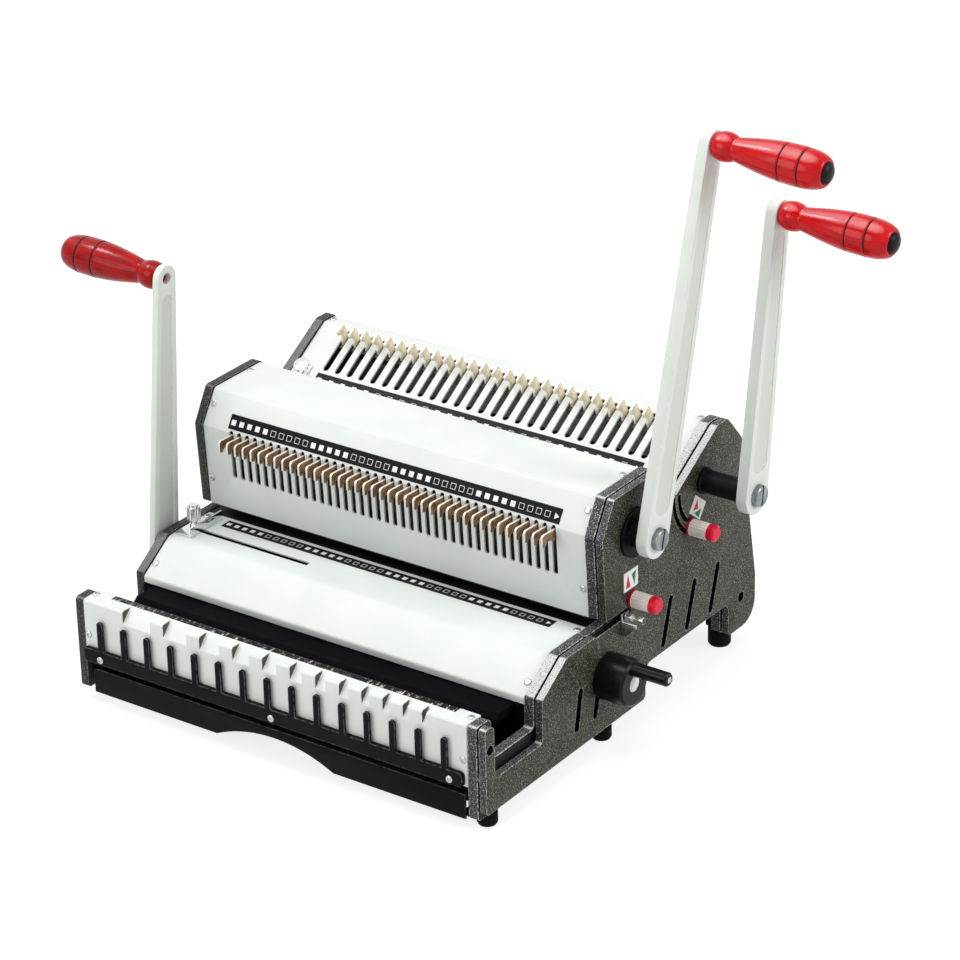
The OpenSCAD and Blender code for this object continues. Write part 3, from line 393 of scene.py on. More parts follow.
# closing well and line slot: black paint darkened further as painted shade, edges left without highlights
wellShadeBlack = dict(
    blackPaint, tone=(0.002, 0.002, 0.004), shade=(0.004, 0.004, 0.006), wearTone=(0.01, 0.01, 0.012),
    specular=0.02, dust=0.0,
)
footRubber = dict(
    blackPaint, tone=(0.005, 0.005, 0.006), shade=(0.01, 0.01, 0.011), wearTone=(0.04, 0.04, 0.04),
    rough=(0.6, 0.8), specular=0.05, dust=0.04,
)
labelFilm = dict(
    blackPaint, tone=(0.004, 0.004, 0.006), shade=(0.007, 0.007, 0.009), rough=(0.3, 0.4), bump=0.05,
    wear=0.1, specular=0.08,
)
printWhite = dict(panelPaint, tone=(0.84, 0.85, 0.84), shade=(0.76, 0.78, 0.77), rough=(0.3, 0.4), bump=0.05)
tagRed = dict(
    printWhite, tone=(0.66, 0.005, 0.03), shade=(0.55, 0.004, 0.025), wearTone=(0.7, 0.1, 0.1), specular=0.1
)
tagGreen = dict(
    printWhite, tone=(0.012, 0.22, 0.08), shade=(0.01, 0.18, 0.065), wearTone=(0.1, 0.35, 0.2), specular=0.1
)
crankBlack = dict(
    blackPaint, tone=(0.005, 0.005, 0.007), shade=(0.008, 0.008, 0.01), wearTone=(0.08, 0.08, 0.08),
    rough=(0.2, 0.3), bump=0.1, specular=0.12,
)
crankBlack.pop("dust")
plugBlack = dict(crankBlack, rough=(0.3, 0.4))
capRed = {
    "tone": (0.82, 0.012, 0.045), "shade": (0.7, 0.008, 0.035), "wearTone": (0.8, 0.2, 0.2),
    "rough": (0.25, 0.35), "grain": 800.0, "patch": 60.0, "bump": 0.1, "bumpDepth": 0.0001,
    "wear": 0.5, "wearRadius": 0.0005, "wearBreakup": 500.0, "specular": 0.15,
}
hammerPaint = {
    "tone": (0.011, 0.0125, 0.008), "shade": (0.025, 0.027, 0.016), "fleck": (0.5, 0.51, 0.36),
    # the top values paint a highlight on faces turned toward the front and up; the two slope values paint a
    # highlight on the slopes
    "topTone": (0.05, 0.056, 0.062), "topFleck": (0.86, 0.89, 0.93), "top": 0.8, "slopeHighlightLow": 0.25, "slopeHighlight": 0.85,
    "speck": 1.2, "speckDetail": 2.0, "speckBand": (0.36, 0.5),  # speck: its scale over the flecks' scale
    "scale": 900.0, "patch": 35.0, "rough": (0.28, 0.45), "bump": 0.4, "bumpDepth": 0.0003, "specular": 0.2,
    # edge wear: partly worn paint, partly painted glints on the rims; its tone also colours the painted slope
    # highlight
    "wear": 0.9, "wearRadius": 0.0012, "wearBreakup": 500.0, "wearTone": (0.80, 0.79, 0.80),
}
innerHammer = dict(hammerPaint, marked=(0.004, 0.004, 0.005))  # marked: the face behind the cover, painted near black as shade
coverHammer = dict(hammerPaint, marked=(0.003, 0.003, 0.004))  # marked: walls of the vents, painted near black as shade
# left plate: hammer paint darkened as painted shade, with fewer painted highlights
shadedHammer = dict(
    hammerPaint, fleck=(0.2, 0.21, 0.18), topFleck=(0.34, 0.35, 0.37), topTone=(0.02, 0.022, 0.025),
    wear=0.3, slopeHighlight=0.12,
)
dieSteel = {
    "tone": (0.05, 0.05, 0.05), "shade": (0.035, 0.035, 0.036), "wearTone": (0.2, 0.2, 0.2), "metallic": 1.0,
    "rough": (0.38, 0.55), "stretch": (1, 30, 30), "streak": 60.0, "patch": 30.0,
    "bump": 0.1, "bumpDepth": 0.0001,
}
nipSteel = {
    "tone": (0.006, 0.006, 0.009), "shade": (0.012, 0.011, 0.012), "wearTone": (0.05, 0.045, 0.035),
    "metallic": 0.2, "specular": 0.08, "rough": (0.3, 0.5), "stretch": (1, 30, 30), "streak": 60.0,
    "patch": 60.0, "bump": 0.1, "bumpDepth": 0.0001,
    "glint": (420.0, 6.0, 0.7), "glintBand": (0.555, 0.61),  # glint: scale, detail and roughness of its noise
    "glintTone": (0.85, 0.80, 0.70), "glintStretch": (1, 0.2, 0.2),
}
screwSteel = {
    "tone": (0.6, 0.6, 0.57), "shade": (0.45, 0.44, 0.41), "wearTone": (0.8, 0.8, 0.78), "metallic": 1.0,
    "rough": (0.22, 0.38), "stretch": (1, 1, 1), "streak": 900.0, "patch": 300.0,
    "bump": 0.15, "bumpDepth": 0.0001,
}
boltSteel = dict(
    screwSteel, tone=(0.29, 0.325, 0.33), shade=(0.17, 0.19, 0.2), wearTone=(0.6, 0.62, 0.62), patch=120.0
)
guideChrome = dict(
    screwSteel, tone=(0.84, 0.85, 0.84), shade=(0.7, 0.72, 0.71), rough=(0.08, 0.18), bump=0.05
)
# latch: faces not turned sideways painted light as a highlight
latchZinc = dict(
    screwSteel, tone=(0.09, 0.1, 0.1), shade=(0.04, 0.045, 0.045), wearTone=(0.95, 0.97, 0.95),
    litEdgeTone=(0.62, 0.68, 0.64), patch=180.0,
)
knobAlloy = dict(
    screwSteel, tone=(0.97, 0.92, 0.85), shade=(0.86, 0.8, 0.72), rough=(0.35, 0.5), streak=300.0,
    metallic=0.1,
)
# tabs: front and top faces painted light, sideways faces darker as painted shade; bright edge wear partly
# painted highlight
tabPlating = {
    "tone": (0.45, 0.29, 0.145), "shade": (0.15, 0.082, 0.034), "wearTone": (0.97, 0.88, 0.80),
    "litEdgeTone": (0.93, 0.84, 0.76), "metallic": 0.25, "rough": (0.3, 0.48), "stretch": (1, 8, 8),
    "streak": 120.0, "patch": 160.0, "bump": 0.15, "bumpDepth": 0.0001,
}
paleTabs = dict(
    tabPlating, tone=(0.93, 0.86, 0.69), shade=(0.74, 0.63, 0.42), litEdgeTone=(0.92, 0.88, 0.8), patch=220.0,
    metallic=0.1,
)
# a painted sheen lightens the upper side of the handles
redLacquer = {
    "tone": (0.62, 0.002, 0.006), "shade": (0.44, 0.001, 0.003), "lighten": 0.42, "paintedSheenTone": (0.84, 0.34, 0.35),
    "rough": (0.13, 0.2), "stretch": (0.12, 1, 1), "grain": 260.0, "detail": 5.0, "band": (0.35, 0.7),
    "patch": 90.0, "specular": 0.22, "bump": 0.04, "bumpDepth": 0.0002,
    "wear": 0.2, "wearRadius": 0.0008, "wearBreakup": 500.0, "wearTone": (0.55, 0.02, 0.02),
}
# closer handle: lacquer darkened as painted shade, with less painted sheen
shadedLacquer = dict(
    redLacquer, tone=(0.42, 0.002, 0.003), shade=(0.17, 0.001, 0.0015), specular=0.15, lighten=0.05
)
materials = {  # by the record's slots
    "panel_paint": paintFinish("panelPaint", panelPaint),
    "arm_paint": paintFinish("armPaint", armPaint),
    "black_paint": paintFinish("blackPaint", blackPaint),
    "foot_rubber": paintFinish("footRubber", footRubber),
    "label_film": paintFinish("labelFilm", labelFilm),
    "tag_film": paintFinish("printWhite", printWhite),
    "crank_black": paintFinish("crankBlack", crankBlack),
    "cap_red": paintFinish("capRed", capRed),
    "hammer_paint": hammerFinish("hammerPaint", hammerPaint),
    "die_steel": metalFinish("dieSteel", dieSteel),
    "screw_steel": metalFinish("screwSteel", screwSteel),
    "guide_chrome": metalFinish("guideChrome", guideChrome),
    "tab_plating": metalFinish("tabPlating", tabPlating),
    "knob_alloy": metalFinish("knobAlloy", knobAlloy),
    "red_lacquer": lacquerFinish("redLacquer", redLacquer),
}
extraMaterials = {
    "tagRed": paintFinish("tagRed", tagRed),
    "tagGreen": paintFinish("tagGreen", tagGreen),
    "plugBlack": paintFinish("plugBlack", plugBlack),
    "gaugePaint": paintFinish("gaugePaint", gaugePaint),
    "innerHammer": hammerFinish("innerHammer", innerHammer),
    "coverHammer": hammerFinish("coverHammer", coverHammer),
    "shadedHammer": hammerFinish("shadedHammer", shadedHammer),
    "shadedLacquer": lacquerFinish("shadedLacquer", shadedLacquer),
    "wellShadeBlack": paintFinish("wellShadeBlack", wellShadeBlack),
    "nipSteel": metalFinish("nipSteel", nipSteel),
    "boltSteel": metalFinish("boltSteel", boltSteel),
    "latchZinc": metalFinish("latchZinc", latchZinc),
    "paleTabs": metalFinish("paleTabs", paleTabs),
}
ownFinish = {  # nodes whose finish differs from the rest of their slot
    "left_side_plate": "shadedHammer", "right_side_plate": "innerHammer", "right_outer_cover": "coverHammer",
    "front_panel": "gaugePaint", "closer_bar": "wellShadeBlack", "well_trough": "wellShadeBlack",
    "closing_anvil": "nipSteel", "front_bolt": "boltSteel", "rear_bolt": "boltSteel",
    "closer_bolt": "boltSteel", "side_latch": "latchZinc", "rear_tabs": "paleTabs",
    "closer_handle": "shadedLacquer",
}
slotOf = {entry["node"]: entry["material_slot"] for entry in frame["record"]["subparts"]}


def finishOf(nodeName):
    if nodeName in ownFinish:
        return extraMaterials[ownFinish[nodeName]]
    return materials[slotOf[nodeName]]


for nodeName, nodeObject in nodeObjects.items():
    nodeObject.data.materials.clear()
    nodeObject.data.materials.append(finishOf(nodeName))
print("stage: materials on", len(nodeObjects), "nodes")

# pieces


def addPiece(name, mesh, body, slotName, replaced=(), material=None, smooth=None):
    piece = bpy.data.objects.new(name, mesh)
    scene.collection.objects.link(piece)
    mesh.materials.clear()
    mesh.materials.append(material or materials[slotName])
    if smooth is not None:
        mesh.shade_smooth()
        mesh.set_sharp_from_angle(angle=math.radians(smooth))
    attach(piece, body)
    if replaced:
        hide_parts(*replaced)
    return piece


def bodyOf(nodeName):
    return nodeObjects[nodeName]["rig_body"]


def toMesh(shape, name):
    bmesh.ops.recalc_face_normals(shape, faces=shape.faces)
    mesh = bpy.data.meshes.new(name)
    shape.to_mesh(mesh)
    shape.free()
    return mesh


def joinLoops(shape, a, b):
    for i in range(len(a)):
        j = (i + 1) % len(a)
        shape.faces.new((a[i], a[j], b[j], b[i]))


softEdges = {  # node: width of the rounded edge in mm
    "left_side_plate": 1.0, "right_side_plate": 1.2, "right_outer_cover": 1.2,
    "front_panel": 0.6, "deck_panel": 0.4, "front_housing": 0.2, "rear_housing": 0.2, "rear_cover": 0.3,
    "finger_rail": 0.6, "chip_tray": 0.5, "closing_anvil": 0.6, "closer_bar": 0.6,
    "closer_arm": 1.2, "front_arm": 1.2, "rear_arm": 1.2,
    "front_tabs": 0.25, "rear_tabs": 0.25, "side_latch": 0.4, "deck_guide": 0.4, "rear_guide": 0.3,
}
edgeCut = {"merge": 2e-6, "flat": 0.6, "sharp": 28.0, "steps": 2, "profile": 0.6, "smooth": 32.0}
faceTests = {  # cosines with x, and m
    "wall": 0.9, "pocketDeep": 0.014, "pocketEnd": 0.02, "side": 0.95, "sunk": 0.0004,
    "edgeOn": 0.3, "lift": 0.0002,
}


def pocketWall(face, mesh):
    high, deep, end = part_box("front_panel")[1], faceTests["pocketDeep"], faceTests["pocketEnd"]
    inZone = face.center.z > high.z - deep and face.center.x < high.x - end
    return face.normal.x > faceTests["wall"] and inZone


def recessFloor(face, mesh):
    sides = [v.co.x for v in mesh.vertices]
    outer = max(sides) if face.normal.x > 0 else min(sides)
    return abs(face.normal.x) > faceTests["side"] and abs(face.center.x - outer) > faceTests["sunk"]


def plateBack(face, mesh):
    return face.normal.x > faceTests["side"]


markedFaces = {
    "right_side_plate": plateBack, "front_panel": pocketWall,
    "front_arm": recessFloor, "rear_arm": recessFloor, "closer_arm": recessFloor,
}
crispCuts = {"right_outer_cover": 0.013}  # node: widest cut in m


def cutWalls(shape, widest):
    tree = BVHTree.FromBMesh(shape)
    walls = set()
    for face in shape.faces:
        if abs(face.normal.x) > faceTests["edgeOn"]:
            continue
        start = face.calc_center_median() + face.normal * faceTests["lift"]
        if tree.ray_cast(start, face.normal, widest)[0] is not None:
            walls.add(face)
    return walls


def softenEdges(nodeName, width, s):
    mesh = nodeObjects[nodeName].data.copy()
    shape = bmesh.new()
    shape.from_mesh(mesh)
    bmesh.ops.remove_doubles(shape, verts=shape.verts, dist=s["merge"])
    bmesh.ops.dissolve_limit(shape, angle_limit=math.radians(s["flat"]), verts=shape.verts, edges=shape.edges)
    for label in ("edge", "marked"):  # both layers before any face is kept
        shape.faces.layers.float.new(label)
    layer, mark = (shape.faces.layers.float[label] for label in ("edge", "marked"))
    walls = cutWalls(shape, crispCuts[nodeName]) if nodeName in crispCuts else set()
    sharp = [
        e for e in shape.edges if e.is_manifold and e.calc_face_angle(0.0) > math.radians(s["sharp"])
        and not walls.intersection(e.link_faces)
    ]
    for face in walls:
        face[mark] = 1.0
    rounded = bmesh.ops.bevel(
        shape, geom=sharp, offset=width / 1000, offset_type="OFFSET", segments=s["steps"],
        profile=s["profile"], affect="EDGES", clamp_overlap=True, harden_normals=False,
    )
    for face in rounded["faces"]:
        face[layer] = 1.0
    bmesh.ops.triangulate(shape, faces=[f for f in shape.faces if len(f.verts) > 4])
    shape.to_mesh(mesh)
    shape.free()
    if nodeName in markedFaces:
        marks = mesh.attributes["marked"]
        for face in mesh.polygons:
            marks.data[face.index].value = 1.0 if markedFaces[nodeName](face, mesh) else 0.0
    body, finish = bodyOf(nodeName), finishOf(nodeName)
    addPiece(nodeName + "_soft", mesh, body, slotOf[nodeName], (nodeName,), finish, smooth=s["smooth"])


for nodeName, width in softEdges.items():
    softenEdges(nodeName, width, edgeCut)
print("stage: edges rounded on", len(softEdges), "pieces")

# turned handles

handleShape = {  # mm from the face of the arm
    "ball": 18.5, "ballRadius": 12.2, "neck": 20.0, "neckRadius": 10.0,
    "swell": 16.4, "swellAt": 73.0, "tail": 31.6, "plug": 4.5, "plugRadius": 9.3,
    "grooves": (64.6, 82.3), "grooveDepth": 0.7, "grooveWidth": 0.75,
    "ballHalf": 5.0, "ballReach": 8.3, "chamfer": 0.4, "rimDrop": 0.2, "crease": 0.7,
    "near": 1.5, "fineStep": 0.2, "step": 1.2,  # fine steps near the grooves and the crease behind the ball
    "plugRim": ((0.3, 0.6), (0.1, 0.1), (-1.5, 0.1)), "plugRoot": 1.4, "domeSteps": 10,
    "ringSunk": 0.25, "ringShare": 0.8, "ringDeep": 0.6,
    "collar": ((-0.4, 0.0), (-0.4, 8.6), (1.0, 8.6), (1.0, 0.0)), "spigot": 2.0, "gap": 0.4,
    "rings": 72, "plugRings": 48, "smooth": 40.0, "trimSmooth": 35.0,
}


def handleRadius(x, s):
    if x <= s["ball"]:
        across = x / s["ball"] * (2 * s["ballHalf"]) - s["ballHalf"]
        return s["ballRadius"] * math.sqrt(1 - (across / s["ballReach"]) ** 2)
    if x <= s["swellAt"]:
        u = max(0.0, (x - s["neck"]) / (s["swellAt"] - s["neck"]))
        return s["neckRadius"] + (s["swell"] - s["neckRadius"]) * math.sin(u * math.pi / 2)
    return s["swell"] * (1 - ((x - s["swellAt"]) / s["tail"]) ** 3) ** (1 / 3)


def handleProfile(s):
    end, x = s["length"] - s["plug"], s["chamfer"]
    points = [(0.0, 0.0), (0.0, handleRadius(0.0, s) - x)]
    while x < end - s["chamfer"]:
        r = handleRadius(x, s)
        for groove in s["grooves"]:
            near = abs(x - groove) / s["grooveWidth"]
            if near < 1:
                r -= s["grooveDepth"] * math.sqrt(1 - near ** 2)
        points.append((x, r))
        fine = any(abs(x - g) < s["near"] for g in s["grooves"] + (s["ball"] + s["crease"],))
        x += s["fineStep"] if fine else s["step"]
    points.append((end, handleRadius(end, s) - s["rimDrop"]))
    points += [(end + along, s["plugRadius"] + out) for along, out in s["plugRim"]]
    return points + [(points[-1][0], 0.0)]


def plugProfile(s):
    end = s["length"] - s["plug"]
    root = end - s["plugRoot"]
    turns = [math.radians(90 / s["domeSteps"] * i) for i in range(s["domeSteps"])]
    dome = [(end + s["plug"] * math.sin(a), s["plugRadius"] * math.cos(a)) for a in turns]
    return [(root, 0.0), (root, s["plugRadius"])] + dome + [(s["length"], 0.0)]


def ringProfile(s, groove):
    r = handleRadius(groove, s) - s["ringSunk"]
    w = s["grooveWidth"] * s["ringShare"]
    low, high, inside = groove - w, groove + w, r - s["ringDeep"]
    return [(low, inside), (low, r), (high, r), (high, inside), (low, inside)]


def latheMesh(name, profile, start, axis, rings):
    across = axis.cross(Vector((0, 1, 0))).normalized()
    along = across.cross(axis).normalized()
    shape = bmesh.new()
    loops = []
    for x, r in profile:
        middle = start + axis * (x / 1000)
        if r < 1e-6:  # on the axis
            loops.append([shape.verts.new(middle)])
            continue
        turns = [2 * math.pi * i / rings for i in range(rings)]
        spokes = [along * math.cos(a) + across * math.sin(a) for a in turns]
        loops.append([shape.verts.new(middle + spoke * (r / 1000)) for spoke in spokes])
    if profile[0] == profile[-1]:  # a ring has no end face
        loops[-1] = loops[0]
    elif len(loops[0]) > 1:
        shape.faces.new(loops[0])
    for a, b in zip(loops, loops[1:]):
        if len(a) == len(b):
            joinLoops(shape, a, b)
            continue
        for i in range(rings):
            j = (i + 1) % rings
            shape.faces.new((a[0], b[i], b[j]) if len(a) == 1 else (a[i], a[j], b[0]))
    bmesh.ops.delete(shape, geom=[v for v in shape.verts if not v.link_faces], context="VERTS")
    return toMesh(shape, name)


def turnHandle(nodeName, armName, side, shape):
    armLow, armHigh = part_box(armName)
    face = armHigh.x if side > 0 else armLow.x
    points = [v.co for v in nodeObjects[nodeName].data.vertices]
    spigot = [p for p in points if side * (p.x - face) < -shape["spigot"] / 1000]
    seat = [(min(p[i] for p in spigot) + max(p[i] for p in spigot)) / 2 for i in (1, 2)]
    start = Vector((face + side * shape["gap"] / 1000, seat[0], seat[1]))
    tip = max(points, key=lambda p: side * p.x)
    axis = (tip - start).normalized()
    s = dict(shape, length=(tip - start).length * 1000)
    body, red, black = bodyOf(nodeName), finishOf(nodeName), extraMaterials["plugBlack"]
    turned = latheMesh(nodeName, handleProfile(s), start, axis, s["rings"])
    addPiece(nodeName + "_turned", turned, body, "red_lacquer", (nodeName,), red, s["smooth"])
    plugEnd = latheMesh(nodeName + "Plug", plugProfile(s), start, axis, s["plugRings"])
    addPiece(nodeName + "_plug", plugEnd, body, "crank_black", (), black, s["trimSmooth"])
    for number, groove in enumerate(s["grooves"]):
        ring = latheMesh(nodeName + "Ring", ringProfile(s, groove), start, axis, s["rings"])
        ringName = "%s_ring_%d" % (nodeName, number + 1)
        addPiece(ringName, ring, body, "crank_black", (), black, s["trimSmooth"])
    collar = latheMesh(nodeName + "Collar", s["collar"], start, Vector((side, 0, 0)), s["plugRings"])
    addPiece(nodeName + "_collar", collar, body, "red_lacquer", (), red, s["trimSmooth"])


for nodeName, armName, side in (
    ("front_handle", "front_arm", 1), ("rear_handle", "rear_arm", 1), ("closer_handle", "closer_arm", -1),
):
    turnHandle(nodeName, armName, side, handleShape)
print("stage: handles turned")

# repeated details


def geometryTree(name, inputs):
    tree = bpy.data.node_groups.new(name, "GeometryNodeTree")
    kinds = {"float": "NodeSocketFloat", "material": "NodeSocketMaterial", "object": "NodeSocketObject"}
    tree.interface.new_socket(name="Geometry", in_out="INPUT", socket_type="NodeSocketGeometry")
    for label, kind in inputs.items():
        tree.interface.new_socket(name=label, in_out="INPUT", socket_type=kinds[kind])
    tree.interface.new_socket(name="Geometry", in_out="OUTPUT", socket_type="NodeSocketGeometry")
    return tree, tree.nodes.new("NodeGroupInput").outputs


def finishTree(tree, given, instances):
    realize = addNode(tree, "GeometryNodeRealizeInstances", {0: instances})
    inputs = {"Geometry": realize.outputs[0], "Material": given["Material"]}
    return putOut(tree, Geometry=addNode(tree, "GeometryNodeSetMaterial", inputs).outputs[0])


def namedAttribute(tree, name, kind):
    node = addNode(tree, "GeometryNodeInputNamedAttribute", {"Name": name}, data_type=kind)
    return node.outputs["Attribute"]


def growMesh(name, points, label, kind, entries, tree, values):
    mesh = bpy.data.meshes.new(name)
    mesh.from_pydata([tuple(p) for p in points], [], [])
    layer = mesh.attributes.new(label, kind, "POINT")
    for item, entry in zip(layer.data, entries):
        setattr(item, "value" if kind == "INT" else "vector", entry)
    seed = bpy.data.objects.new(name, mesh)
    scene.collection.objects.link(seed)
    modifier = seed.modifiers.new("grow", "NODES")
    modifier.node_group = tree
    for item in tree.interface.items_tree:
        if item.item_type == "SOCKET" and item.in_out == "INPUT" and item.name in values:
            modifier[item.identifier] = values[item.name]
    bpy.context.view_layer.update()
    grown = bpy.data.meshes.new_from_object(seed.evaluated_get(bpy.context.evaluated_depsgraph_get()))
    seed.modifiers.remove(modifier)
    bpy.data.objects.remove(seed)
    return grown


markStyles = {"filled": 0, "outline": 1, "arrow": 2}
markInk = {  # m, marks in a group, the arrow's radius over its side, and the least cosine of a flat label
    "line": 0.0006, "lift": 0.00014, "above": 0.00004, "group": 5, "arrow": 0.62, "flat": 0.999,
}


def buildMarkTree():
    inputs = {"Side": "float", "Line": "float", "Lift": "float", "Turn": "float", "Material": "material"}
    tree, given = geometryTree("labelMarks", inputs)
    side, line, lift = given["Side"], given["Line"], given["Lift"]
    size = addNode(tree, "ShaderNodeCombineXYZ", {"X": side, "Y": side, "Z": lift})
    rectangle = "GeometryNodeCurvePrimitiveQuadrilateral"
    path = addNode(tree, rectangle, {"Width": side, "Height": side})
    section = addNode(tree, rectangle, {"Width": line, "Height": lift})
    sweep = {"Curve": path.outputs[0], "Profile Curve": section.outputs[0]}
    corner = {"Vertices": 3, "Radius": mathNode(tree, "MULTIPLY", side, markInk["arrow"]), "Depth": lift}
    shapes = {
        "filled": addNode(tree, "GeometryNodeMeshCube", {"Size": size.outputs[0]}),
        "outline": addNode(tree, "GeometryNodeCurveToMesh", sweep),
        "arrow": addNode(tree, "GeometryNodeMeshCylinder", corner),
    }
    style = namedAttribute(tree, "style", "INT")
    turn = addNode(tree, "ShaderNodeCombineXYZ", {"X": given["Turn"]})
    join = tree.nodes.new("GeometryNodeJoinGeometry")
    for label, number in markStyles.items():
        same = addNode(tree, "FunctionNodeCompare", {2: style, 3: number}, data_type="INT", operation="EQUAL")
        place = addNode(tree, "GeometryNodeInstanceOnPoints", {
            "Points": given["Geometry"], "Selection": same.outputs["Result"],
            "Instance": shapes[label].outputs[0], "Rotation": turn.outputs[0],
        })
        tree.links.new(place.outputs[0], join.inputs[0])
    return finishTree(tree, given, join.outputs[0])


labelRows = {  # label node: marks, pitch in mm, share of the label's depth, side in mm
    "front_label": {"count": 40, "pitch": 25.4 / 3, "share": 0.46, "side": 4.7},
    "deck_label": {"count": 40, "pitch": 25.4 / 3, "share": 0.5, "side": 4.3},
    "rear_label": {"count": 27, "pitch": 12.7, "share": 0.4, "side": 4.5},
}


def printLabel(nodeName, s, tree):
    mesh = nodeObjects[nodeName].data
    top = max(mesh.polygons, key=lambda face: face.area * (1 if face.normal.z > 0 else 0))
    normal = top.normal.copy()
    faces = [face for face in mesh.polygons if face.normal.dot(normal) > markInk["flat"]]
    corners = [mesh.vertices[i].co for face in faces for i in face.vertices]
    along = Vector((0, normal.z, -normal.y))  # up the label's slope
    levels = [c.dot(along) for c in corners]
    middle = min(levels) + (max(levels) - min(levels)) * s["share"]
    height = corners[0].dot(normal) + markInk["above"]
    points, styles = [], []
    for i in range(s["count"]):
        x = machine["x"] + (i - (s["count"] - 1) / 2) * s["pitch"] / 1000
        points.append(Vector((x, 0, 0)) + along * middle + normal * height)
        styles.append((i // markInk["group"]) % 2)
    styles[-1] = markStyles["arrow"]
    values = {
        "Side": s["side"] / 1000, "Line": markInk["line"], "Lift": markInk["lift"],
        "Turn": math.atan2(-normal.y, normal.z), "Material": materials["tag_film"],
    }
    grown = growMesh(nodeName + "Marks", points, "style", "INT", styles, tree, values)
    addPiece(nodeName + "_marks", grown, bodyOf(nodeName), "tag_film")


markTree = buildMarkTree()
for nodeName, settings in labelRows.items():
    printLabel(nodeName, settings, markTree)
print("stage: labels printed")


def buildScrewTree():
    tree, given = geometryTree("crossScrews", {"Head": "object", "Material": "material"})
    head = addNode(tree, "GeometryNodeObjectInfo", {"Object": given["Head"]})
    outward = namedAttribute(tree, "axis", "FLOAT_VECTOR")
    aim = addNode(tree, "FunctionNodeAlignRotationToVector", {"Vector": outward}, axis="Z")
    place = addNode(tree, "GeometryNodeInstanceOnPoints", {
        "Points": given["Geometry"], "Instance": head.outputs["Geometry"], "Rotation": aim.outputs[0],
    })
    return finishTree(tree, given, place.outputs[0])


screwHead = {  # radius and height in mm, the cross in its top, and the point that heads look away from
    "profile": ((3.2, 0.0), (3.2, 0.35), (3.0, 0.75), (2.5, 1.1), (1.9, 1.32)),
    "arm": 1.45, "half": 0.36, "deep": 0.9, "rings": 32, "smooth": 40.0, "heart": (0, 230, 60),
}


def headMesh(s):
    shape = bmesh.new()
    turns = [2 * math.pi * i / s["rings"] for i in range(s["rings"])]

    def loopAt(outline, z):
        return [shape.verts.new((x / 1000, y / 1000, z / 1000)) for x, y in outline]

    loops = [loopAt([(r * math.cos(a), r * math.sin(a)) for a in turns], z) for r, z in s["profile"]]
    shape.faces.new(list(reversed(loops[0])))
    for a, b in zip(loops, loops[1:]):
        joinLoops(shape, a, b)
    h, arm, top = s["half"], s["arm"], s["profile"][-1][1]
    cross = [
        (h, -arm), (h, -h), (arm, -h), (arm, h), (h, h), (h, arm),
        (-h, arm), (-h, h), (-arm, h), (-arm, -h), (-h, -h), (-h, -arm),
    ]
    rim, floor = loopAt(cross, top), loopAt(cross, top - s["deep"])
    rimEdges = [shape.edges.new((a, b)) for a, b in zip(rim, rim[1:] + rim[:1])]
    outer = [shape.edges.get((a, b)) for a, b in zip(loops[-1], loops[-1][1:] + loops[-1][:1])]
    edges = rimEdges + outer
    bmesh.ops.triangle_fill(shape, use_beauty=True, use_dissolve=False, edges=edges, normal=(0, 0, 1))
    for face in [f for f in shape.faces if all(v in rim for v in f.verts)]:
        shape.faces.remove(face)
    joinLoops(shape, rim, floor)
    shape.faces.new(floor)
    return toMesh(shape, "screwHead")


def screwPlaces(heart):
    shape = bmesh.new()
    shape.from_mesh(nodeObjects["panel_screws"].data)
    bmesh.ops.remove_doubles(shape, verts=shape.verts, dist=edgeCut["merge"])
    left = set(shape.verts)
    places, axes = [], []
    while left:
        first = min(left, key=lambda v: v.index)
        island, waiting = {first}, [first]
        while waiting:
            for edge in waiting.pop().link_edges:
                for vertex in edge.verts:
                    if vertex not in island:
                        island.add(vertex)
                        waiting.append(vertex)
        left -= island
        faces = (f for v in island for f in v.link_faces)
        base = max(faces, key=lambda f: (round(f.calc_area() * 1e9), -f.index))  # area to 0.001 square mm
        ordered = sorted(island, key=lambda v: v.index)
        middle = sum((v.co for v in ordered), Vector()) / len(ordered)
        axis = base.normal if base.normal.dot(middle - heart) > 0 else -base.normal
        low = min(v.co.dot(axis) for v in island)
        places.append(middle + axis * (low - middle.dot(axis)))
        axes.append(axis.copy())
    shape.free()
    return places, axes


def setScrews():
    proto = bpy.data.objects.new("screwHead", headMesh(screwHead))
    scene.collection.objects.link(proto)
    places, axes = screwPlaces(at(*screwHead["heart"]))
    values = {"Head": proto, "Material": materials["screw_steel"]}
    grown = growMesh("panelScrews", places, "axis", "FLOAT_VECTOR", axes, buildScrewTree(), values)
    bpy.data.objects.remove(proto)
    smooth = screwHead["smooth"]
    addPiece("panel_screws_cross", grown, "frame", "screw_steel", ("panel_screws",), smooth=smooth)
    return len(places)


print("stage: screws set,", setScrews())

# small dressings

tagMarks = {  # corners on the cover's face, y and z in mm from the middle of the tag
    "tag_red": (
        ("rect", ((-7.5, -6), (-1.0, -6), (-4.5, 6.5))), ("diamond", ((-7, 0), (0.5, -1), (-0.5, 8))),
    ),
    "tag_green": (
        ("rect", ((1.0, 4), (7.5, 6), (5.0, -6.5))), ("diamond", ((-5, -3), (5.5, -3), (1, -9.5))),
    ),
}
tagInks = {"tag_red": "tagRed", "tag_green": "tagGreen"}
tagMiddles = {"rect": (205.75, 138.5), "diamond": (306.4, 161.4)}
tagFilm = {"sunk": 0.00002, "thick": 0.00012}  # m


def prismMesh(name, outlines, x, depth):
    shape = bmesh.new()
    for outline in outlines:
        near, far = ([shape.verts.new((side, y, z)) for y, z in outline] for side in (x + depth, x))
        shape.faces.new(near)
        shape.faces.new(list(reversed(far)))
        joinLoops(shape, near, far)
    bmesh.ops.triangulate(shape, faces=[f for f in shape.faces if len(f.verts) > 4])
    return toMesh(shape, name)


